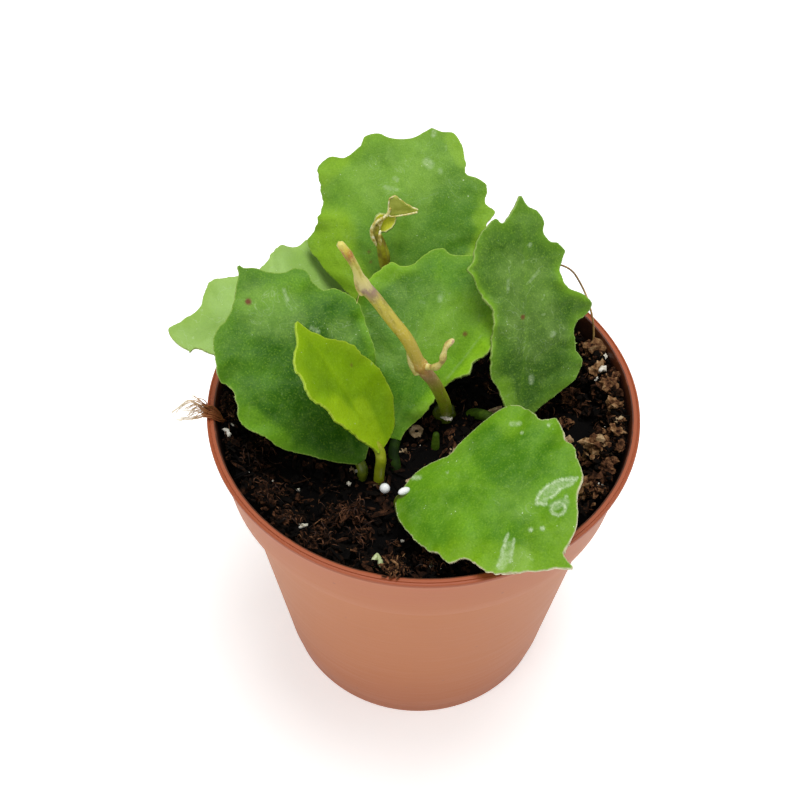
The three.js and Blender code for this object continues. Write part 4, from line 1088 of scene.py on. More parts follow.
def leaf_skin(name, deep_and_shade, light, lime, bloom, edge="#b4cf66", dust=0.5):
    finish, tree, shader, place = new_finish(name, 0.42, 1.46)
    shader.inputs["Specular IOR Level"].default_value = 0.15
    trait = {key: add(tree, "ShaderNodeAttribute", {"attribute_name": key}).outputs["Fac"]
             for key in TRAITS}
    patches = add(tree, "ShaderNodeTexNoise", inputs={
        "Vector": place, "Scale": every(12), "Detail": 5.0, "Roughness": 0.6})
    green = add(tree, "ShaderNodeValToRGB", inputs={"Fac": patches.outputs["Fac"]},
                stops=((0.34, deep_and_shade), (0.64, light)))
    # painted shade: the green darkens towards the stalk and where a deep mark was stored
    foot = add(tree, "ShaderNodeMapRange", inputs={
        "Value": trait["along"], "From Max": 0.45, "To Min": 0.35, "To Max": 0.0})
    painted_shade_share = add(tree, "ShaderNodeMath", {"operation": "MAXIMUM"},
                     {0: foot.outputs[0], 1: trait["deep_and_shade"]})
    # tissue: pale cells and darker pits a third of a millimetre apart
    cells = add(tree, "ShaderNodeTexNoise", inputs={
        "Vector": place, "Scale": every(0.38), "Detail": 3.0, "Roughness": 0.7})
    cell_share = add(tree, "ShaderNodeMapRange", inputs={
        "Value": cells.outputs["Fac"], "From Min": 0.52, "From Max": 0.7, "To Max": 0.3})
    pit_share = add(tree, "ShaderNodeMapRange", inputs={
        "Value": cells.outputs["Fac"], "From Min": 0.48, "From Max": 0.3, "To Max": 0.4})
    # the side veins and midrib stored with the shape
    vein_share = add(tree, "ShaderNodeMath", {"operation": "MULTIPLY"}, {0: trait["vein"], 1: 0.12})
    # the margin: a pale band, painted light through the thin blade, and an edge line, partly painted
    # highlight
    ragged = add(tree, "ShaderNodeMath", {"operation": "MULTIPLY_ADD"},
                 {0: patches.outputs["Fac"], 1: 5.0, 2: trait["edge_mm"]})
    rim_light_share = add(tree, "ShaderNodeMapRange", inputs={
        "Value": ragged.outputs[0], "From Min": 1.2, "From Max": 5.0, "To Min": 0.5, "To Max": 0.0})
    broken = add(tree, "ShaderNodeMath", {"operation": "MULTIPLY_ADD"},
                 {0: cells.outputs["Fac"], 1: 0.5, 2: trait["edge_mm"]})
    edge_highlight_share = add(tree, "ShaderNodeMapRange", inputs={
        "Value": broken.outputs[0], "From Min": 0.28, "From Max": 0.52, "To Min": 0.75, "To Max": 0.0})
    # the bloom: clouds of dull wax and painted sheen, fine scuffs and lime dots in it
    cloud = add(tree, "ShaderNodeTexNoise", inputs={
        "Vector": place, "Scale": every(5), "Detail": 9.0, "Roughness": 0.78, "Distortion": 0.4})
    cloud_share = add(tree, "ShaderNodeMapRange", inputs={
        "Value": cloud.outputs["Fac"], "From Min": 0.47, "From Max": 0.72, "To Max": bloom})
    bloom_and_sheen_share = add(tree, "ShaderNodeMath", {"operation": "MULTIPLY_ADD", "use_clamp": True},
                      {0: trait["painted_sheen"], 1: cloud.outputs["Fac"], 2: cloud_share.outputs[0]})
    curly = add(tree, "ShaderNodeTexNoise", inputs={
        "Vector": place, "Scale": every(5.5), "Detail": 3.0, "Distortion": 0.7})
    off_line = add(tree, "ShaderNodeMath", {"operation": "SUBTRACT"}, {0: curly.outputs["Fac"], 1: 0.5})
    near_line = add(tree, "ShaderNodeMath", {"operation": "ABSOLUTE"}, {0: off_line.outputs[0]})
    scuff = add(tree, "ShaderNodeMapRange", inputs={
        "Value": near_line.outputs[0], "From Min": 0.002, "From Max": 0.009, "To Min": 0.5, "To Max": 0.0})
    scuff_share = add(tree, "ShaderNodeMath", {"operation": "MULTIPLY", "use_clamp": True},
                      {0: scuff.outputs[0], 1: bloom_and_sheen_share.outputs[0]})
    scuff_seen = add(tree, "ShaderNodeMath", {"operation": "MULTIPLY", "use_clamp": True},
                     {0: scuff_share.outputs[0], 1: 1.3})
    dots = add(tree, "ShaderNodeTexVoronoi", inputs={"Vector": place, "Scale": every(1.1)})
    dot_size = add(tree, "ShaderNodeMapRange", inputs={
        "Value": cloud.outputs["Fac"], "From Min": 0.48, "From Max": 0.7, "To Min": 0.0, "To Max": 0.17})
    dot_share = add(tree, "ShaderNodeMath", {"operation": "LESS_THAN"},
                    {0: dots.outputs["Distance"], 1: dot_size.outputs[0]})
    dot_faint = add(tree, "ShaderNodeMath", {"operation": "MULTIPLY"}, {0: dot_share.outputs[0], 1: dust})
    # dried water, thick and crusty only where a mark was stored
    crust = add(tree, "ShaderNodeTexNoise", inputs={
        "Vector": place, "Scale": every(0.8), "Detail": 6.0, "Roughness": 0.8})
    crust_share = add(tree, "ShaderNodeMapRange", inputs={
        "Value": crust.outputs["Fac"], "From Min": 0.4, "From Max": 0.58, "To Min": 0.28})
    chalk_share = add(tree, "ShaderNodeMath", {"operation": "MULTIPLY", "use_clamp": True},
                      {0: crust_share.outputs[0], 1: trait["chalk"]})
    # from the tissue up: how much of a layer shows, and its colour
    surface = green.outputs["Color"]
    for share, colour in (
        (painted_shade_share.outputs[0], deep_and_shade), (trait["lime"], lime), (cell_share.outputs[0], PALE_CELL),
        (pit_share.outputs[0], deep_and_shade), (vein_share.outputs[0], lime), (rim_light_share.outputs[0], lime),
        (edge_highlight_share.outputs[0], edge), (bloom_and_sheen_share.outputs[0], WAX_BLOOM_AND_SHEEN),
        (scuff_seen.outputs[0], DRIED_WATER), (dot_faint.outputs[0], LIME_SPECK),
        (chalk_share.outputs[0], DRIED_WATER), (trait["speck"], BROWN_SPECK),
    ):
        layer = add(tree, "ShaderNodeMix", {"data_type": "RGBA"}, {0: share, 6: surface, 7: linear(colour)})
        surface = layer.outputs[2]
    tree.links.new(surface, shader.inputs["Base Color"])
    wax = add(tree, "ShaderNodeMapRange", inputs={
        "Value": cloud.outputs["Fac"], "From Min": 0.3, "From Max": 0.7, "To Min": 0.3, "To Max": 0.52})
    matt = add(tree, "ShaderNodeMath", {"operation": "MULTIPLY_ADD", "use_clamp": True},
               {0: trait["chalk"], 1: 0.2, 2: wax.outputs[0]})
    tree.links.new(matt.outputs[0], shader.inputs["Roughness"])
    crusted = add(tree, "ShaderNodeMath", {"operation": "MULTIPLY_ADD"},
                  {0: chalk_share.outputs[0], 1: 0.8, 2: cells.outputs["Fac"]})
    bump = add(tree, "ShaderNodeBump", inputs={
        "Strength": 0.5, "Distance": 0.00025, "Height": crusted.outputs[0]})
    tree.links.new(bump.outputs["Normal"], shader.inputs["Normal"])
    return finish


def plant_finish(name, stops, patch, roughness, relief=0.2, specular=0.5):
    """Stalk, underside or margin tissue: one soft patchy green with a fine bump."""
    finish, tree, shader, place = new_finish(name, roughness, 1.45)
    shader.inputs["Specular IOR Level"].default_value = specular
    patches = add(tree, "ShaderNodeTexNoise", inputs={
        "Vector": place, "Scale": every(patch), "Detail": 5.0, "Roughness": 0.6})
    colours = add(tree, "ShaderNodeValToRGB", inputs={"Fac": patches.outputs["Fac"]}, stops=stops)
    tree.links.new(colours.outputs["Color"], shader.inputs["Base Color"])
    grains = add(tree, "ShaderNodeTexNoise", inputs={
        "Vector": place, "Scale": every(0.5), "Detail": 3.0})
    bump = add(tree, "ShaderNodeBump", inputs={
        "Strength": relief, "Distance": 0.0002, "Height": grains.outputs["Fac"]})
    tree.links.new(bump.outputs["Normal"], shader.inputs["Normal"])
    return finish


leaf_underside = plant_finish("leaf_underside_pale_green", ((0.35, "#6f9138"), (0.65, "#8aac4e")), 6, 0.6)
# the rim finishes are paler than the blades: partly the edge's own colour, partly a painted highlight
leaf_margin = plant_finish("leaf_margin_cream_lime", ((0.35, "#7c9e34"), (0.65, "#a5bb68")), 3, 0.45)
young_margin = plant_finish("young_leaf_margin_lime", ((0.35, "#8fb414"), (0.65, "#b3c93c")), 3, 0.45)
dry_margin = plant_finish("leaf_margin_dry_cream", ((0.35, "#b7b183"), (0.65, "#d9d4b4")), 2, 0.6)
young_underside = plant_finish("young_leaf_underside", ((0.35, "#86a51f"), (0.65, "#9fbe3a")), 6, 0.5)
print("leaf finishes share", leaf_margin.name)

# %% [markdown]
# Now each leaf gets its own greens and its own marks. A mark is a path over the blade in the
# leaf's frame, with a width: chalk where a drop dried, a painted sheen, a brown speck, a limier
# green that is partly painted light, or a deeper green that is painted shade. Some margins curl,
# and two leaves have a crease; both are painted lighter lime beyond the bend, as painted light.

# %% Colours and marks of the leaves
SKINS = {                            # deep (also painted shade), light, lime, bloom and painted sheen, edge line, dust
    "leaf_back": ("#4b7a1c", "#729f32", "#86b022", 0.18, "#9aba4a"),
    # the back left leaf is paler all over: a painted sheen of the bright sky at a grazing angle
    "leaf_back_left": ("#84aa4c", "#a3c672", "#94b83c", 0.4, "#a8c468"),
    # the front left leaf's greens are darker, which is partly painted shade
    "leaf_front_left": ("#2a5a08", "#568622", "#6c9f18", 0.15, "#9dbb55"),
    "leaf_young": ("#668c00", "#7fa800", "#a2c412", 0.03, "#b6cb3c"),
    "leaf_middle": ("#386a0e", "#5d9020", "#86b81c", 0.2, "#a3c252"),
    "leaf_right": ("#355b16", "#507a22", "#7cac22", 0.2, "#98b860"),
    "leaf_front_right": ("#3e720e", "#6ea21e", "#7aa610", 0.18, "#c9cd98", 1.0),
}


def ring_path(s, t, radius):
    turns = [k * math.pi / 5 for k in range(11)]
    return [(s + radius * math.cos(turn), t + radius * math.sin(turn)) for turn in turns]


MARKS = {                            # kind, width, strength, path
    "leaf_back": (
        ("painted_sheen", 10, 0.2, [(36, -7), (40, 1)]), ("chalk", 1.28, 0.36, [(40.4, 1.4), (40.9, 0.6)]),
        ("chalk", 0.64, 0.3, [(35.8, -5), (36.1, -5.6)]),
        ("chalk", 0.56, 0.3, [(33.8, -7.3), (33.6, -4.5)]),
        ("chalk", 0.56, 0.3, [(39.7, 3.8), (39.2, 4.1)]),
        ("chalk", 0.8, 0.36, [(47.2, 0.6), (47.8, 0.6)]),
        ("speck", 0.5, 0.6, [(19.2, -7.7)]), ("speck", 0.5, 0.5, [(17.1, -6.8)]),
        ("lime", 7, 0.9, [(9, -8), (15, -15), (22, -17)]), ("lime", 3, 0.5, [(34, -22), (38, -19)]),
        ("lime", 3, 0.5, [(31, 15), (33, 16)]), ("lime", 2.5, 0.5, [(43, 8), (47, 5)]),
        ("deep_and_shade", 5, 0.7, [(4, -3), (14, -9)]), ("deep_and_shade", 10, 1, [(24, 9), (36, 11)]),
        ("deep_and_shade", 6, 0.4, [(30, 0)]),
    ),
    "leaf_back_left": (
        ("painted_sheen", 5, 0.5, [(28.8, 11.2), (35.6, 5.9), (41.6, 1.3)]),
        ("deep_and_shade", 7, 0.8, [(4, 12), (10, 14)]),
    ),
    "leaf_front_left": (
        ("painted_sheen", 7, 0.4, [(37.7, -1), (34.2, 2)]), ("painted_sheen", 4, 0.3, [(25, 11)]),
        ("speck", 0.9, 1, [(39.8, -2.5)]),
        ("chalk", 0.48, 0.36, [(38.2, 5.1), (36, 4.7)]),
        ("chalk", 0.48, 0.42, [(28.7, 5.6), (27.2, 6.4)]),
        ("deep_and_shade", 12, 1, [(6, 0), (18, 1)]), ("deep_and_shade", 5, 0.3, [(28, -4)]),
        ("lime", 3, 0.6, [(12, -12), (20, -15)]),
        ("lime", 3, 0.4, [(40, -3), (38, 8)]),
    ),
    "leaf_young": (
        ("speck", 0.5, 0.5, [(17.9, 4.7)]), ("chalk", 0.32, 0.36, [(15.1, 8.9)]),
        ("lime", 4, 0.6, [(3, -2), (14, -5)]), ("lime", 3, 0.5, [(2, 0), (10, 1)]),
    ),
    "leaf_middle": (
        ("painted_sheen", 12, 0.25, [(22.5, -4.5), (26, -2)]), ("chalk", 0.72, 0.3, [(30.6, 2.1), (31.4, 2)]),
        ("speck", 0.7, 0.8, [(24.8, 9)]),
        ("chalk", 0.32, 0.12, [(14.6, 7.7), (20.1, 10.2), (25.4, 12.5)]),
        ("deep_and_shade", 7, 0.4, [(8, -2), (18, 2)]), ("deep_and_shade", 4, 0.4, [(34, 6), (30, 9)]),
        ("deep_and_shade", 6, 0.9, [(30, -8)]),
        ("lime", 3, 0.4, [(36, -8), (30, -13)]), ("lime", 9, 0.4, [(21, 6), (27, 8)]),
        ("lime", 5, 0.6, [(20, 13), (27, 14)]),
    ),
    "leaf_right": (
        ("painted_sheen", 9, 0.3, [(31, 0), (22, 3)]), ("speck", 0.7, 0.9, [(23.9, 0.6)]),
        ("chalk", 0.72, 0.3, [(20.6, 7.6), (20.2, 7.2)]),
        ("chalk", 0.72, 0.42, [(11.4, 3), (10.4, 3.1)]),
        ("chalk", 0.8, 0.36, [(3.5, 4.8), (4.2, 5.4)]), ("chalk", 0.56, 0.42, [(38.7, 2)]),
        ("chalk", 0.4, 0.24, [(35.2, 0.5)]), ("chalk", 0.4, 0.24, [(31.5, -2.8), (29.4, -2.9)]),
        ("chalk", 0.4, 0.24, [(33.4, 4), (31.2, 2.2)]), ("chalk", 0.32, 0.24, [(28.8, -3)]),
        ("deep_and_shade", 7, 1, [(10, 1), (18, 4)]), ("deep_and_shade", 6, 1, [(22, 10)]), ("painted_sheen", 3, 0.3, [(21, 9.6)]),
        ("lime", 2.5, 0.35, [(1, 0), (10, -3)]),
    ),
    "leaf_front_right": (
        ("chalk", 0.42, 1, [(32.2, -16.1), (29.8, -14.7), (28.2, -12.7), (27.3, -10.3), (27.7, -8.7),
                            (29.6, -9.2)]),
        ("chalk", 0.42, 0.9, [(32.5, -16.2), (31.9, -14.6), (30.5, -13.2), (29.8, -10.8)]),
        ("chalk", 1.1, 0.45, [(31.6, -15.4), (29.9, -13.6), (28.8, -11.2), (28.6, -9.6)]),
        ("chalk", 0.42, 0.8, ring_path(32.2, -9.2, 1.35)),
        ("chalk", 1.3, 0.4, [(31.2, -9.4), (32.6, -10.8)]),
        ("chalk", 0.42, 0.8, [(25.7, -1.0), (26.1, 1.4), (26.6, 4.1), (26.8, 5.3)]),
        ("chalk", 0.42, 0.7, [(27.3, -0.4), (28.0, 1.8), (28.5, 3.7)]),
        ("chalk", 1.2, 0.4, [(27, 1), (27.4, 5)]),
        ("painted_sheen", 3.5, 0.6, [(29, 5), (30, 3)]), ("chalk", 0.6, 0.9, [(29.4, -3.4)]),
        ("chalk", 0.55, 1, [(31.3, -4.5)]),
        ("chalk", 0.45, 1, [(32.3, -12.1)]), ("chalk", 0.45, 1, [(17.8, -21.2)]),
        ("chalk", 0.45, 1, [(21.9, -24.7)]),
        ("chalk", 0.7, 0.5, [(14.8, -22.4), (16.2, -23)]), ("chalk", 0.6, 0.7, [(2.4, -5.4), (0.9, -5)]),
        ("chalk", 0.4, 0.8, [(7.8, -8.2)]), ("painted_sheen", 6, 0.25, [(24, -8)]), ("lime", 8, 0.35, [(34, -3)]),
        ("deep_and_shade", 6, 0.8, [(12, -17), (18, -14)]), ("lime", 4, 0.5, [(18, 6), (32, 2)]),
        ("lime", 4, 0.3, [(15, -22)]),
    ),
}
CURLS = {                            # side, start, end, reach, height
    "leaf_back": ((1, 0.3, 0.75, 3, 0.5), (-1, 0.05, 0.4, 3, 0.5)),
    "leaf_front_left": ((1, 0.3, 0.6, 3, 0.8),),
    "leaf_middle": ((1, 0.1, 0.62, 5, 1.3), (-1, 0.6, 0.9, 3, 0.6)),
    "leaf_right": ((-1, 0.3, 0.78, 2, 0.8), (1, 0.5, 0.75, 2.5, 0.5)),
    "leaf_front_right": ((1, 0.3, 0.9, 3, 0.7),),
}
FOLDS = {                            # side, start and end of the crease, slope beyond it
    "leaf_middle": ((1, (14.6, 7.7), (25.4, 12.5), 0.4),),
    "leaf_back": ((-1, (9, -7.5), (20, -18.5), -0.3),),
}
MARGINS = {"leaf_front_right": dry_margin, "leaf_young": young_margin}
QUILTING = {"leaf_young": 0.05}      # how far the blade swells between its veins
RUFFLE = {"leaf_young": 0.3}         # how far its margin waves
BLADE_CELL = 0.33
BLADE_THICKNESS = 1.1
YOUNG_THICKNESS = 0.8
EDGE_SHARE = 0.68                    # thickness at the rim

for name, leaf in LEAVES.items():
    young = name == "leaf_young"
    skin = leaf_skin(name + "_cuticle", *SKINS[name])
    below = young_underside if young else leaf_underside
    sheet = grow_blade(leaf, BLADE_CELL, MARKS.get(name, ()), CURLS.get(name, ()), FOLDS.get(name, ()),
                       QUILTING.get(name, 0.14), RUFFLE.get(name, 0.9))
    margin = MARGINS.get(name, leaf_margin)
    blade = finish_piece(name + "_blade", sheet, [skin, below, margin],
                         name, recalculate=False)
    thicken(blade, YOUNG_THICKNESS if young else BLADE_THICKNESS, EDGE_SHARE)
    print(name, "faces:", len(blade.data.polygons))


# %% [markdown]
# Each stalk starts as a rib under the blade, leaves it at the base and goes down into the mix. It
# is a rod whose radius grows from nearly nothing on the blade's back to its full size at the base.

# %% Leaf stalks
RIB_TIP = (0.38, 1.1)                # share of the blade where the rib starts, and its depth there
RIB_NEAR = 0.12                      # share of the blade where the rib has nearly its full size
STALK_SUNK = 8                       # how far the stalk goes down into the mix


def tapered_rod(points, radius_at, count, rounded=True):
    """A route with radii for rods(). A rounded rod ends in a dome instead of a flat cut."""
    route = smooth_route(points, count)
    length = sum((b - a).length for a, b in zip(route, route[1:]))
    radii = []
    for k in range(count + 1):
        radius = radius_at(k / count)
        left = length * (1 - k / count)
        if rounded and left < radius:
            radius *= max(math.sqrt(1 - (1 - left / radius) ** 2), 0.12)
        radii.append(radius)
    return route, radii


def stalk_route(leaf):
    def under(share, drop):
        s = leaf["length"] * share
        return leaf_point(leaf, s, rib_offset(leaf, s), -drop)
    x, y = leaf["foot"]
    drop = leaf.get("rib_drop", leaf["stalk_radius"])
    return [under(*RIB_TIP), under(RIB_NEAR, leaf["stalk_radius"] + 0.3), under(0, drop),
            *leaf["stalk"], (x, y, SOIL_LEVEL), (x, y, SOIL_LEVEL - STALK_SUNK)]


stalk_green = plant_finish("stalk_olive_green", (
    (0.3, "#3f4d0e"), (0.5, "#5d6c14"), (0.7, "#7e8a20")), 3, 0.4)
young_stalk = plant_finish("young_stalk_yellow_green", (
    (0.3, "#7f9014"), (0.5, "#96a319"), (0.7, "#b0ba3a")), 3, 0.38)
# the middle leaf's stalk is painted near-black green: painted shade
shaded_stalk = plant_finish("stalk_painted_shade_green", (
    (0.3, "#0e1c04"), (0.5, "#182c05"), (0.7, "#2c4408")), 3, 0.7, specular=0.15)
for name, leaf in LEAVES.items():
    full = leaf["stalk_radius"]
    rod = tapered_rod(stalk_route(leaf), lambda share: min(0.4 + 2.2 * full * share, full), 60, False)
    finish = {"leaf_young": young_stalk, "leaf_middle": shaded_stalk}.get(name, stalk_green)
    finish_piece(name + "_stalk", rods([rod], 16), [finish])

# %% [markdown]
# A second ball of fertiliser rests on the front leaf, next to its stalk. It is placed in that
# leaf's own frame, so it stays on the blade if the leaf is moved.

# %% A ball caught on the front leaf
CAUGHT_BALL = (0.9, -1.6, 0.6)      # along, across and above the blade
CAUGHT_SIZE = (1.3, 0.75, 0.7)
caught_shape = bmesh.new()
caught_spot = leaf_point(LEAVES["leaf_front_right"], *CAUGHT_BALL)
bmesh.ops.create_icosphere(caught_shape, subdivisions=3, radius=1, matrix=Matrix.Translation(caught_spot)
                           @ Matrix.Rotation(0.5, 4, "Z") @ Matrix.Diagonal((*CAUGHT_SIZE, 1)))
finish_piece("fertiliser_ball_caught", caught_shape, [prill])

# %% [markdown]
# ## The long stem
# The bare stem is a vine's running shoot. It is thickest and green at the base, dull olive in the
# middle, and yellow at its young tip. At each node, where a leaf fell or never grew, there is a
# small swelling and a brown scar.

# %% Stem finish by height, and the stem
LONG_STEM = [
    (5.2, 4, 62), (5.1, 3, 71), (4.6, 0.5, 77.5), (3.5, -1.8, 83.6), (1.6, -4.1, 90.8),
    (0.3, -4.8, 93.8),
    (-1.1, -4.7, 96.3), (-2.2, -4.3, 99), (-3.6, -3.9, 102.5), (-6.9, -3.2, 107.8), (-9.9, -2.4, 112.5),
    (-12.2, -1.8, 115.7), (-13.5, -1, 119.2), (-15, -0.3, 122), (-16.5, 0.4, 124),
]
STEM_NODES = (                       # share of the length, swelling, run
    (0.53, 0.3, 0.01), (0.5, 0.12, 0.02), (0.86, 0.14, 0.014), (0.955, 0.12, 0.01),
)
STEM_BASE_RADIUS = 1.4
STEM_THINNING = 0.2
YOUNG_TIP = (0.85, 0.91)             # share of the length where the stem narrows to its young tip
YOUNG_TIP_THINNING = 0.42


def stem_radius(share):
    swelling = sum(size * math.exp(-((share - at) / run) ** 2) for at, size, run in STEM_NODES)
    young = YOUNG_TIP_THINNING * smooth_step(share, *YOUNG_TIP)
    return STEM_BASE_RADIUS - STEM_THINNING * share - young + swelling


STEM_LEAN = math.radians(-19)        # the bark's streaks run along the leaning stem
stem_skin, tree, shader, place = new_finish("vine_bark_olive", 0.42, 1.46)
split = add(tree, "ShaderNodeSeparateXYZ", inputs={"Vector": place})
grain_place = add(tree, "ShaderNodeMapping", {"vector_type": "TEXTURE"}, {
    "Vector": place, "Rotation": (0, STEM_LEAN, 0), "Scale": (1, 1, 5)})
streaks = add(tree, "ShaderNodeTexNoise", inputs={
    "Vector": grain_place.outputs["Vector"], "Scale": every(1.1), "Detail": 5.0, "Roughness": 0.65})
wavy = add(tree, "ShaderNodeMath", {"operation": "MULTIPLY_ADD"},
           {0: streaks.outputs["Fac"], 1: 0.004, 2: split.outputs["Z"]})
rise = add(tree, "ShaderNodeMapRange", inputs={
    "Value": wavy.outputs[0], "From Min": 0.072, "From Max": 0.126})
by_height = add(tree, "ShaderNodeValToRGB", inputs={"Fac": rise.outputs[0]}, stops=(
    (0.0, "#6c8408"), (0.2, "#92a812"), (0.32, "#98a41e"), (0.4, "#a08c46"), (0.44, "#a6845c"),
    (0.472, "#a87844"), (0.49, "#bd9348"), (0.53, "#bca644"), (0.65, "#c6b23c"), (0.78, "#bfb446"),
    (0.81, "#a18a60"), (0.825, "#96786a"), (0.84, "#ccbe80"), (0.93, "#c3be50"), (0.96, "#a66c30"),
    (0.975, "#c6b13c"), (1.0, "#dcd26a")))
lines = add(tree, "ShaderNodeMapRange", inputs={
    "Value": streaks.outputs["Fac"], "From Min": 0.5, "From Max": 0.66, "To Max": 0.6})
streaked = add(tree, "ShaderNodeMix", {"data_type": "RGBA"},
               {0: lines.outputs[0], 6: by_height.outputs["Color"], 7: linear("#8a7c20")})
flecks = add(tree, "ShaderNodeTexNoise", inputs={
    "Vector": place, "Scale": every(0.5), "Detail": 4.0, "Roughness": 0.7})
fleck_share = add(tree, "ShaderNodeMapRange", inputs={
    "Value": flecks.outputs["Fac"], "From Min": 0.55, "From Max": 0.7, "To Max": 0.6})
flecked = add(tree, "ShaderNodeMix", {"data_type": "RGBA"},
              {0: fleck_share.outputs[0], 6: streaked.outputs[2], 7: linear("#dccf8c")})
tree.links.new(flecked.outputs[2], shader.inputs["Base Color"])
bump = add(tree, "ShaderNodeBump", inputs={
    "Strength": 0.6, "Distance": 0.0004, "Height": streaks.outputs["Fac"]})
tree.links.new(bump.outputs["Normal"], shader.inputs["Normal"])

finish_piece("stem_long_rod", rods([tapered_rod(LONG_STEM, stem_radius, 150)], 24),
             [stem_skin], "stem_long")

# %% [markdown]
# The side shoot at the middle node is a short knobbly hook with a bud against it. The upper node
# carries a smaller bud and one fine thread. The collar at the foot is a glossy old leaf base with
# a few grains stuck to it.

# %% Side shoot, buds and collar
SIDE_SHOOT = [(-1, -4.6, 96.2), (0.8, -5.6, 96.6), (2.1, -6.5, 97.8), (3.1, -6.7, 99.6), (3.4, -6.3, 101.3),
              (3.9, -5.6, 102.8), (5.3, -4.8, 103.9)]
SIDE_BUD = [(-1.4, -4.9, 94.6), (-2.6, -4.8, 96.8), (-3.5, -4.1, 99.8)]
UPPER_BUD = [(-12.1, -2, 113.4), (-12.9, -2.2, 115.2), (-13.4, -1.6, 117.4)]
UPPER_THREAD = [(-12.4, -2.6, 114.6), (-12.8, -2.7, 113.4), (-13.3, -2.9, 111.2)]
COLLAR_PLACE = Vector((4.7, 2.9, 72.2))
COLLAR_RADIUS = 2.5
STUCK_GRAINS = (((5, 0.4, 73.2), 0.62), ((5.9, 0.6, 72.9), 0.5), ((4.3, 0.3, 73.7), 0.4))

shoot_finish = plant_finish("side_shoot_pale_tan", (
    (0.35, "#a48a52"), (0.48, "#c8b864"), (0.6, "#dccf88"), (0.7, "#b8927a")), 1.6, 0.5, 0.4)
shoots = [
    tapered_rod(SIDE_SHOOT, lambda share: 0.72 - 0.18 * share + 0.1 * math.sin(23 * share), 70),
    tapered_rod(SIDE_BUD, lambda share: 1.2 - 0.8 * share, 30),
    tapered_rod(UPPER_BUD, lambda share: 0.8 - 0.35 * share, 24),
    tapered_rod(UPPER_THREAD, lambda share: 0.07, 12),
]
finish_piece("stem_side_shoot", rods(shoots, 14), [shoot_finish])

collar_finish = plant_finish("old_leaf_base_dark_olive", (
    (0.3, "#2c3608"), (0.5, "#48560e"), (0.7, "#66751c")), 3, 0.22)
collar_shape = bmesh.new()
collar_made = bmesh.ops.create_uvsphere(collar_shape, u_segments=36, v_segments=20, radius=COLLAR_RADIUS,
                                        matrix=Matrix.Translation(COLLAR_PLACE))
for corner in collar_made["verts"]:
    away = corner.co - COLLAR_PLACE
    corner.co += away * 0.12 * noise.noise(corner.co * 0.8) - Vector((0, 0, 0.25 * max(away.z, 0)))
finish_piece("stem_collar", collar_shape, [collar_finish])
stuck_shape = bmesh.new()
for spot, radius in STUCK_GRAINS:
    lump(stuck_shape, spot, radius, detail=2, ragged=1)
finish_piece("collar_grain", stuck_shape, [perlite])

# %% [markdown]
# ## The back shoot
# Behind the long stem a second shoot comes up with a curled young leaf, the ridges of a dry
# sheath and, beyond them, a thin papery bract that catches the light.

# %% Back shoot, curled leaf and bract
BACK_SHOOT = [(-0.8, 12, 62), (-1, 12.4, 71), (-1.8, 15.6, 79), (-4.8, 21.2, 86.5), (-8.3, 27.6, 91.4),
              (-8.7, 28.6, 94), (-9.4, 29.2, 97), (-10, 29.6, 98.6), (-10.5, 30, 100), (-10.3, 30.6, 101.2)]
SHEATH_RIDGES = (                    # points, radius
    ([(-10, 29, 96.6), (-11, 29.2, 98.6), (-11.2, 29.6, 100.2), (-10.5, 30, 101.8),
      (-8.8, 30.6, 102.9)], 0.52),
    ([(-9.3, 28.6, 97), (-9.6, 28.7, 98.8), (-9.4, 29.4, 100.4)], 0.42),
)
BRACT_STALK = [(-9.9, 30.3, 100), (-9.2, 31, 101.6), (-7.9, 31.7, 102.8), (-7.3, 32.2, 104.2)]
CURLED_LEAF = dict(
    base=(-10.3, 30.5, 99.4), heading=68, rise=24, roll=-45, length=4.9, neck=0.6, cup=40,
    left=[(0.2, 1.3), (1.2, 2.3), (2.6, 2.4), (4, 1.4)], right=[(0.6, 1), (2, 1.4), (3.7, 1)])
BRACT = dict(
    base=(-7.6, 31.9, 102.6), heading=82, rise=2, roll=-75, length=6.2, neck=0.4,
    left=[(0.1, 2.2), (0.3, 3.6), (1.4, 4), (2.8, 2.9), (4.8, 1)], right=[(2, 0.4), (4, 0.4)])
BRACT_RIDGE = ((6, 0.2), (3, 0.5), (0, 0.3), (0, -1.8), (0.4, -3.7), (1.4, -4.1))  # along, across
BRACT_RIDGE_RADIUS = 0.2
BRACT_STALK_RADIUS = 0.45
SMALL_CELL = 0.35
CURLED_THICKNESS = 0.9
BRACT_THICKNESS = 0.6


def back_shoot_radius(share):
    return 1.2 + 0.12 * math.sin(40 * share) - 0.5 * smooth_step(share, 0.88, 1)


back_green = plant_finish("back_shoot_olive", (
    (0.3, "#665410"), (0.45, "#7c7612"), (0.58, "#98981a"), (0.7, "#b4b434")), 2, 0.42)
finish_piece("shoot_back_rod", rods([tapered_rod(BACK_SHOOT, back_shoot_radius, 90)], 16),
             [back_green], "shoot_back")
sheath = plant_finish("papery_sheath_cream", (
    (0.35, "#a08a38"), (0.46, "#c0b052"), (0.55, "#ddd490"), (0.65, "#f2ecc8")), 1.2, 0.6, 0.4)
bract_ridge = [leaf_point(BRACT, s, t, 0.1) for s, t in BRACT_RIDGE]
bract_lines = ((bract_ridge, BRACT_RIDGE_RADIUS), (BRACT_STALK, BRACT_STALK_RADIUS))
ridges = [tapered_rod(points, lambda share: width * (1.1 - 0.5 * share), 30)
          for points, width in (*SHEATH_RIDGES, *bract_lines)]
finish_piece("shoot_sheath_ridges", rods(ridges, 10), [sheath])
curl_skin = leaf_skin("curled_leaf_cuticle", "#a2ac0c", "#c0c41c", "#ccd050", 0.02, "#e4e0a8")
curled = finish_piece("shoot_curled_leaf", grow_blade(CURLED_LEAF, SMALL_CELL, quilting=0, ruffle=0),
                      [curl_skin, young_underside, leaf_margin], recalculate=False)
thicken(curled, CURLED_THICKNESS, 0.8)
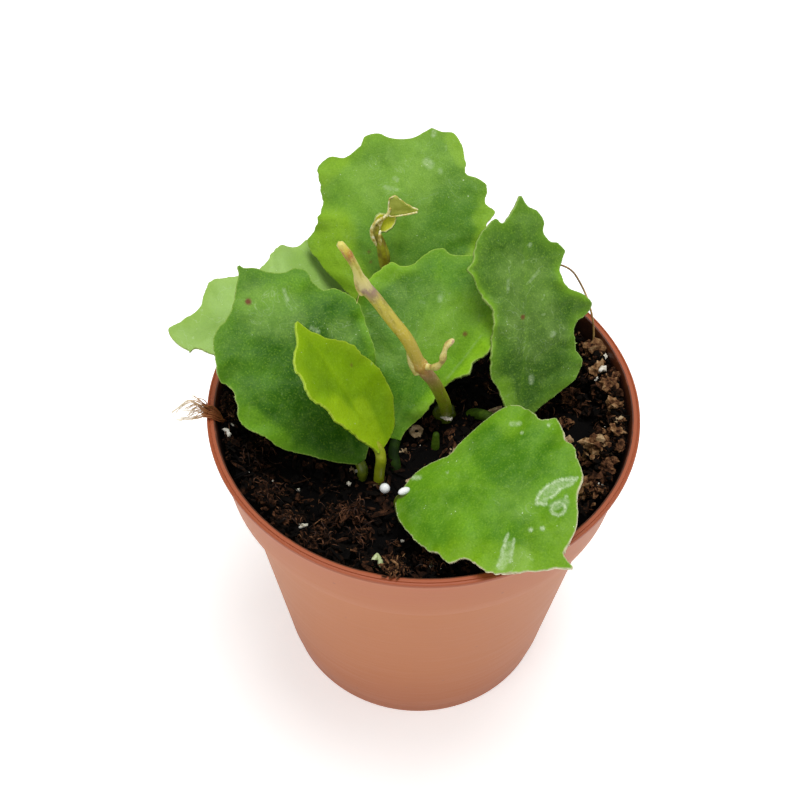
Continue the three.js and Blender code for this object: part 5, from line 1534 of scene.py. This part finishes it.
bract_skin = plant_finish("papery_bract", ((0.35, "#94a02c"), (0.65, "#b2ba50")), 3, 0.55)
bract = finish_piece("shoot_bract", grow_blade(BRACT, SMALL_CELL, quilting=0, ruffle=0),
                     [bract_skin, bract_skin, sheath], recalculate=False)
thicken(bract, BRACT_THICKNESS, 1)

# %% [markdown]
# Two small green shoots barely leave the mix: a stub that leans to the right of the stem's foot,
# and a bud with a rounded tip in front of it.

# %% Stub and bud in the mix
STUB = [(8.6, 5.4, 65), (10.9, 3.8, 70.6), (13, 2, 72.6), (15.6, 0.4, 73.2)]
BUD = [(3, -5.8, 64), (2.7, -5.3, 70), (2.8, -4.4, 74.6)]
stub_green = plant_finish("cut_stub_dark_green", (
    (0.3, "#263a04"), (0.5, "#3c5608"), (0.7, "#5f7c20")), 3, 0.6, specular=0.2)
finish_piece("stem_stub_rod", rods([tapered_rod(STUB, lambda share: 1.4 - 0.3 * share, 50)], 16),
             [stub_green], "stem_stub")
finish_piece("stem_bud_rod", rods([tapered_rod(
    BUD, lambda share: 0.5 + 0.7 * math.sqrt(1 - share), 50)], 16), [stub_green], "stem_bud")

# %% [markdown]
# ## Coir over the rim
# Two strands of coir stand out from the mix: a frayed tuft that leans over the left rim, and one
# long hair that curves up against the right wall and passes behind the right leaf.

# %% Coir tuft and strand
TUFT_KNOT = (-44.3, -4.6, 81)        # where the hairs part, on the lip
TUFT_END = -51.8                     # no hair reaches further left than this
LIP_HAIRS = 20
TUFT_SPRAYS = (                      # middle, end, hairs
    ((-47.4, -5, 84.1), (-51.6, -5, 80.7), 6), ((-46.4, -4.8, 83.8), (-49.2, -5.2, 82.8), 6),
    ((-46, -5, 83), (-48, -5.4, 81), 5), ((-46.4, -5.4, 80.4), (-51.4, -5.6, 79.3), 5),
    ((-46.2, -5.2, 81.6), (-48.6, -5, 80), 5), ((-45.2, -3.8, 83.2), (-46.8, -3.4, 84.2), 4),
)
STRAND = [(36.2, 19, 67), (36.8, 18.8, 73), (37.5, 19, 77.5), (37.3, 20.2, 80.6), (36.8, 21.5, 83),
          (35.6, 24.4, 85.8), (34, 26.2, 88.4), (31.8, 26, 92.2), (29.2, 25, 94.9), (26, 24, 96.2)]
tuft_finish, tree, shader, place = new_finish("dry_coir_tuft", 0.7)
split = add(tree, "ShaderNodeSeparateXYZ", inputs={"Vector": place})
outward = add(tree, "ShaderNodeMapRange", inputs={
    "Value": split.outputs["X"], "From Min": -0.043, "From Max": -0.049})
faded = add(tree, "ShaderNodeValToRGB", inputs={"Fac": outward.outputs[0]},
            stops=((0.0, "#85481f"), (0.3, "#a4683a"), (0.55, "#cfae86"), (1.0, "#efe2c8")))
tree.links.new(faded.outputs["Color"], shader.inputs["Base Color"])
fine = add(tree, "ShaderNodeTexNoise", inputs={"Vector": place, "Scale": every(0.4), "Detail": 3.0})
bump = add(tree, "ShaderNodeBump", inputs={
    "Strength": 0.4, "Distance": 0.0001, "Height": fine.outputs["Fac"]})
tree.links.new(bump.outputs["Normal"], shader.inputs["Normal"])

hairs = []
for _ in range(LIP_HAIRS):
    across = chance.uniform(-1, 1)
    wobble = Vector([chance.uniform(-0.3, 0.3) for _ in range(3)])
    over_lip = [(-41.2, -4.4 - across, 76.5), (-42.4, -4.6 + 1.2 * across, 79.6),
                (-43.8, -4.4 + 1.6 * across, 80.9), (-45.4, -4.8 + 1.1 * across, 81)]
    points = [Vector(point) + wobble for point in over_lip]
    hairs.append(tapered_rod(points, lambda share: 0.15 - 0.05 * share, 20, False))
for middle, end, count in TUFT_SPRAYS:
    for _ in range(count):
        start = Vector(TUFT_KNOT) + Vector([chance.uniform(-0.9, 0.9) for _ in range(3)]) * 0.8
        middle_here = Vector(middle) + Vector([chance.uniform(-0.5, 0.5) for _ in range(3)])
        end_here = Vector(end) + Vector([chance.uniform(-0.8, 0.8) for _ in range(3)])
        end_here.x = max(end_here.x, TUFT_END)
        points = [start, middle_here, end_here]
        hairs.append(tapered_rod(points, lambda share: 0.14 - 0.08 * share, 14, False))
finish_piece("coir_tuft_hairs", rods(hairs, 4), [tuft_finish], "coir_tuft", weld=0.0001)
strand_finish = plant_finish("coir_strand_brown", (
    (0.35, "#6e4a22"), (0.5, "#9a7640"), (0.65, "#c0a066")), 5, 0.5)
strand_rod = tapered_rod(STRAND, lambda share: 0.24 - 0.04 * share, 60)
finish_piece("coir_strand_hair", rods([strand_rod], 10), [strand_finish], "coir_strand")
